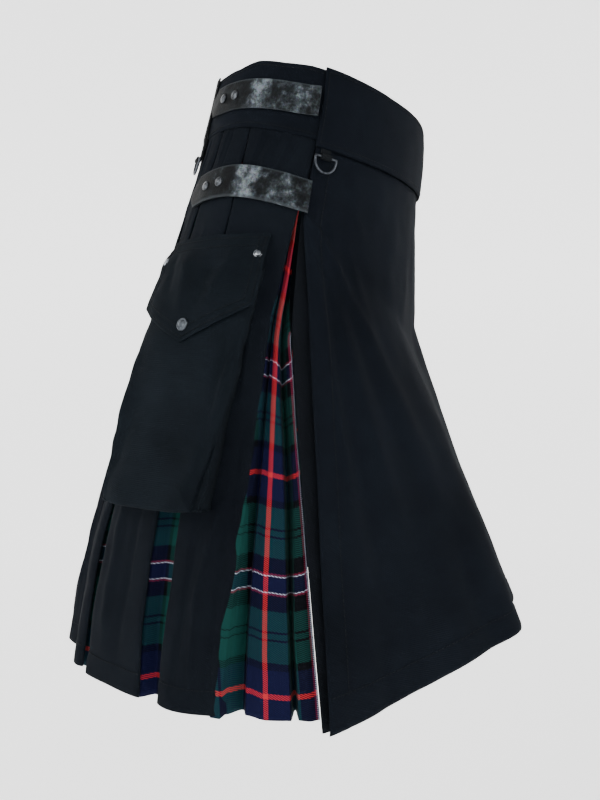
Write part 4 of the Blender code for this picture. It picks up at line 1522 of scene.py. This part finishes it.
class KILT_OT_inserts(bpy.types.Operator):
    """Make the checked cloth that shows between the pleats"""
    bl_idname = "kilt.inserts"
    bl_label = "Checked inserts"

    def execute(self, context):
        sizes = context.scene.kilt_sizes
        for side, left in sides():
            panel = Panel(wide_insert_place, plain_relief(71.0, 0.04, 0.0006), WIDE_FLAT, left)
            piece = panel_mesh(
                "insert_%s_wide_cloth" % side, panel, 110, 120, finish("check"), wide_insert_chart,
            )
            thicken(piece, sizes.check)
            dress(piece, ("insert_%s_wide" % side,))
            cut(WIDE_FLAT)
            for index, (behind, ahead) in enumerate(zip(PLEAT_ROWS, PLEAT_ROWS[1:])):
                node = "insert_%s_%s%s" % (side, behind[0], ahead[0])
                place = narrow_insert_place(behind, ahead)
                panel = Panel(place, plain_relief(80.0 + index, 0.04, 0.0008), NARROW_FLAT, left)
                piece = panel_mesh(
                    node + "_cloth", panel, 36, 100, finish("check"),
                    narrow_insert_chart(place, 47.0 * index + 30.0),
                )
                thicken(piece, sizes.check)
                dress(piece, (node,))
                cut(NARROW_FLAT)
        return {"FINISHED"}


class KILT_OT_straps(bpy.types.Operator):
    """Make the leather straps and the snaps that fasten them"""
    bl_idname = "kilt.straps"
    bl_label = "Straps"

    def execute(self, context):
        for side, left in sides():
            for index, row in enumerate(STRAP_ROWS):
                seed = 90.0 + index + (4.0 if left else 0.0)
                flat = (STRAP_LENGTH, STRAP_LENGTH, STRAP_LENGTH, row[6])
                panel = Panel(strap_place(row), strap_relief(row[6], seed), flat, left)
                node = "strap_%s_%s" % (row[0], side)
                piece = panel_mesh(node + "_leather", panel, 140, 26, finish("leather"))
                thicken(piece, STRAP_WALL, 0.0006)
                dress(piece, (node,))
                for number in (1, 2):
                    round_head("stud_%s_%s_%d" % (row[0], side, number), "stud")
        return {"FINISHED"}


class KILT_OT_pockets(bpy.types.Operator):
    """Make the bag pockets, their pointed flaps with double stitching, and the rivets and snaps"""
    bl_idname = "kilt.pockets"
    bl_label = "Pockets"

    def execute(self, context):
        sizes = context.scene.kilt_sizes
        for index, (side, left) in enumerate(sides()):
            bag = Panel(pocket_place, pocket_relief(101.0 + 9.0 * index), POCKET_FLAT, left)
            piece = panel_mesh("pocket_%s_cloth" % side, bag, 120, 90, finish("pocket"))
            thicken(piece, sizes.cloth)
            dress(piece, ("pocket_%s" % side,))
            cut(POCKET_FLAT)
            flap = Panel(flap_place, flap_relief(120.0 + 9.0 * index), FLAP_FLAT, left)
            piece = panel_mesh("flap_%s_cloth" % side, flap, 100, 70, finish("pocket"))
            thicken(piece, FLAP_WALL - LAY_GAP, 0.0006)
            dress(piece, ("flap_%s" % side,))
            cut(FLAP_FLAT)
            stitches("flap_%s_stitches" % side, self.flap_runs(flap))
            round_head("rivet_%s_1" % side, "rivet")
            round_head("rivet_%s_2" % side, "rivet")
            round_head("snap_%s" % side, "snap")
        return {"FINISHED"}

    def flap_runs(self, flap):
        """Two rows of stitches along the sides and the point, and two along the sewn-on head."""
        runs = []
        for edge in (0.0040, 0.0100):
            side = edge / FLAP_WIDTH
            low = 1.0 - edge / (FLAP_TOP - FLAP_SIDE)
            tip = 1.0 - edge * 1.25 / (FLAP_TOP - FLAP_TIP)
            places = ((side, 0.04), (side, low), (0.5, tip), (1.0 - side, low), (1.0 - side, 0.04))
            runs.append(run_on(flap, places, splits=50))
        for drop in (0.0040, 0.0120):
            places = [(u, drop / (FLAP_TOP - flap_low(u))) for u in np.linspace(0.02, 0.98, 41)]
            runs.append(run_on(flap, places, splits=2))
        return runs


class KILT_OT_rings(bpy.types.Operator):
    """Make the rings and give their cloth tabs the cotton's finish"""
    bl_idname = "kilt.rings"
    bl_label = "Rings"

    def execute(self, context):
        for joint in frame["joints"]:
            ring_piece(joint)
        for name, node in frame["nodes"].items():
            if name.startswith("ring_tab"):
                node.data.materials.clear()
                node.data.materials.append(finish("tape"))
        return {"FINISHED"}


def studio_paper(colour):
    """Seamless studio paper, rolled: even and fully matt, with the faintest fibre."""
    made, tree, shader = new_material("studio_paper")
    place = add_node(tree, "ShaderNodeTexCoord").outputs["Object"]
    fibre = add_node(tree, "ShaderNodeTexNoise", Vector=place, Scale=3.0, Detail=4.0)
    darker = tuple(channel * 0.985 for channel in colour[:3]) + (1.0,)
    base = ramp(tree, fibre.outputs["Fac"], ((0.3, darker), (0.7, tuple(colour))))
    fill(
        tree, shader,
        Base_Color=base.outputs["Color"], Roughness=1.0, Specular_IOR_Level=0.0,
        Emission_Color=tuple(colour), Emission_Strength=1.55,
    )
    return made


def round_body(angle, distance, height):
    """Place at an angle round the body and a distance from its middle."""
    turn = math.radians(angle)
    return Vector((-distance * math.cos(turn), -distance * math.sin(turn), height))


class KILT_OT_stage(bpy.types.Operator):
    """Make the pale backdrop, the soft lamps and the camera at the photograph's angle"""
    bl_idname = "kilt.stage"
    bl_label = "Stage"

    def execute(self, context):
        colours = context.scene.kilt_colours
        self.backdrop(tuple(colours.floor))
        self.lamps(tuple(colours.lamp))
        self.world()
        self.camera(context)
        return {"FINISHED"}

    def backdrop(self, colour):
        """Round sweep of paper: a flat floor that turns up into a wall all round."""
        radius, turn_up, wall = 4.0, 1.2, 3.4
        profile = [(0.0, FLOOR_HEIGHT), (radius - turn_up, FLOOR_HEIGHT)]
        for step in range(1, 13):
            turn = math.pi / 2.0 * step / 12.0
            profile.append((
                radius - turn_up + turn_up * math.sin(turn), FLOOR_HEIGHT + turn_up * (1.0 - math.cos(turn)),
            ))
        profile.append((radius, FLOOR_HEIGHT + wall))
        sheet = bmesh.new()
        verts = [sheet.verts.new((x, 0.0, z)) for x, z in profile]
        edges = [sheet.edges.new(pair) for pair in zip(verts, verts[1:])]
        bmesh.ops.spin(
            sheet, geom=verts + edges, cent=(0, 0, 0), axis=(0, 0, 1), angle=math.tau, steps=72, use_merge=True,
        )
        bmesh.ops.remove_doubles(sheet, verts=sheet.verts[:], dist=0.0001)
        bmesh.ops.recalc_face_normals(sheet, faces=sheet.faces[:])
        bmesh.ops.reverse_faces(sheet, faces=sheet.faces[:])
        for face in sheet.faces:
            face.smooth = True
        object_from("studio_sweep", sheet, studio_paper(colour))

    def lamps(self, colour):
        for name, angle, distance, height, size, watts in LAMPS:
            light = bpy.data.lights.new(name, "AREA")
            light.shape = "DISK"
            light.size = size
            light.energy = watts
            light.color = colour
            lamp = bpy.data.objects.new(name, light)
            lamp.location = round_body(angle, distance, height)
            aim = Vector((0.0, 0.0, LAMP_AIM_HEIGHT)) - lamp.location
            lamp.rotation_euler = aim.to_track_quat("-Z", "Y").to_euler()
            bpy.context.scene.collection.objects.link(lamp)

    def world(self):
        world = bpy.data.worlds.new("studio_air")
        world.use_nodes = True
        background = world.node_tree.nodes["Background"]
        background.inputs["Color"].default_value = linear("#f2f4f6")
        background.inputs["Strength"].default_value = 0.55
        bpy.context.scene.world = world

    def camera(self, context):
        data = bpy.data.cameras.new("photograph")
        data.sensor_width = 36.0
        data.lens = FOCAL_PIXELS / PHOTO_HEIGHT * data.sensor_width
        data.shift_x = (PHOTO_WIDTH / 2.0 - CENTRE_PIXEL[0]) / PHOTO_HEIGHT
        data.shift_y = (CENTRE_PIXEL[1] - PHOTO_HEIGHT / 2.0) / PHOTO_HEIGHT
        camera = bpy.data.objects.new("photograph", data)
        ahead = Vector((math.cos(VIEW_ANGLE), math.sin(VIEW_ANGLE), 0.0))
        camera.location = -ahead * VIEW_DISTANCE + Vector((0.0, 0.0, VIEW_HEIGHT))
        camera.rotation_euler = ahead.to_track_quat("-Z", "Y").to_euler()
        bpy.context.scene.collection.objects.link(camera)
        context.scene.camera = camera


OPERATORS = (
    KILT_OT_waistbands, KILT_OT_aprons, KILT_OT_pleats, KILT_OT_inserts,
    KILT_OT_straps, KILT_OT_pockets, KILT_OT_rings, KILT_OT_stage,
)


class KILT_PT_panel(bpy.types.Panel):
    """Lists the kilt's pieces and sizes"""
    bl_idname = "KILT_PT_panel"
    bl_label = "Kilt"
    bl_space_type = "VIEW_3D"
    bl_region_type = "UI"
    bl_category = "Kilt"

    def draw(self, context):
        sizes = context.scene.kilt_sizes
        colours = context.scene.kilt_colours
        for name in ("cloth", "check", "stitch", "inset"):
            self.layout.prop(sizes, name)
        for name in ("floor", "lamp"):
            self.layout.prop(colours, name)
        for operator in OPERATORS:
            self.layout.operator(operator.bl_idname)


CLASSES = (KiltSizes, KiltColours) + OPERATORS + (KILT_PT_panel,)


def register():
    for cls in CLASSES:
        bpy.utils.register_class(cls)
    bpy.types.Scene.kilt_sizes = bpy.props.PointerProperty(type=KiltSizes)
    bpy.types.Scene.kilt_colours = bpy.props.PointerProperty(type=KiltColours)


def unregister():
    del bpy.types.Scene.kilt_colours
    del bpy.types.Scene.kilt_sizes
    for cls in reversed(CLASSES):
        bpy.utils.unregister_class(cls)


def main():
    register()
    bpy.ops.kilt.waistbands()
    bpy.ops.kilt.aprons()
    bpy.ops.kilt.pleats()
    bpy.ops.kilt.inserts()
    bpy.ops.kilt.straps()
    bpy.ops.kilt.pockets()
    bpy.ops.kilt.rings()
    bpy.ops.kilt.stage()


if __name__ == "__main__":
    main()
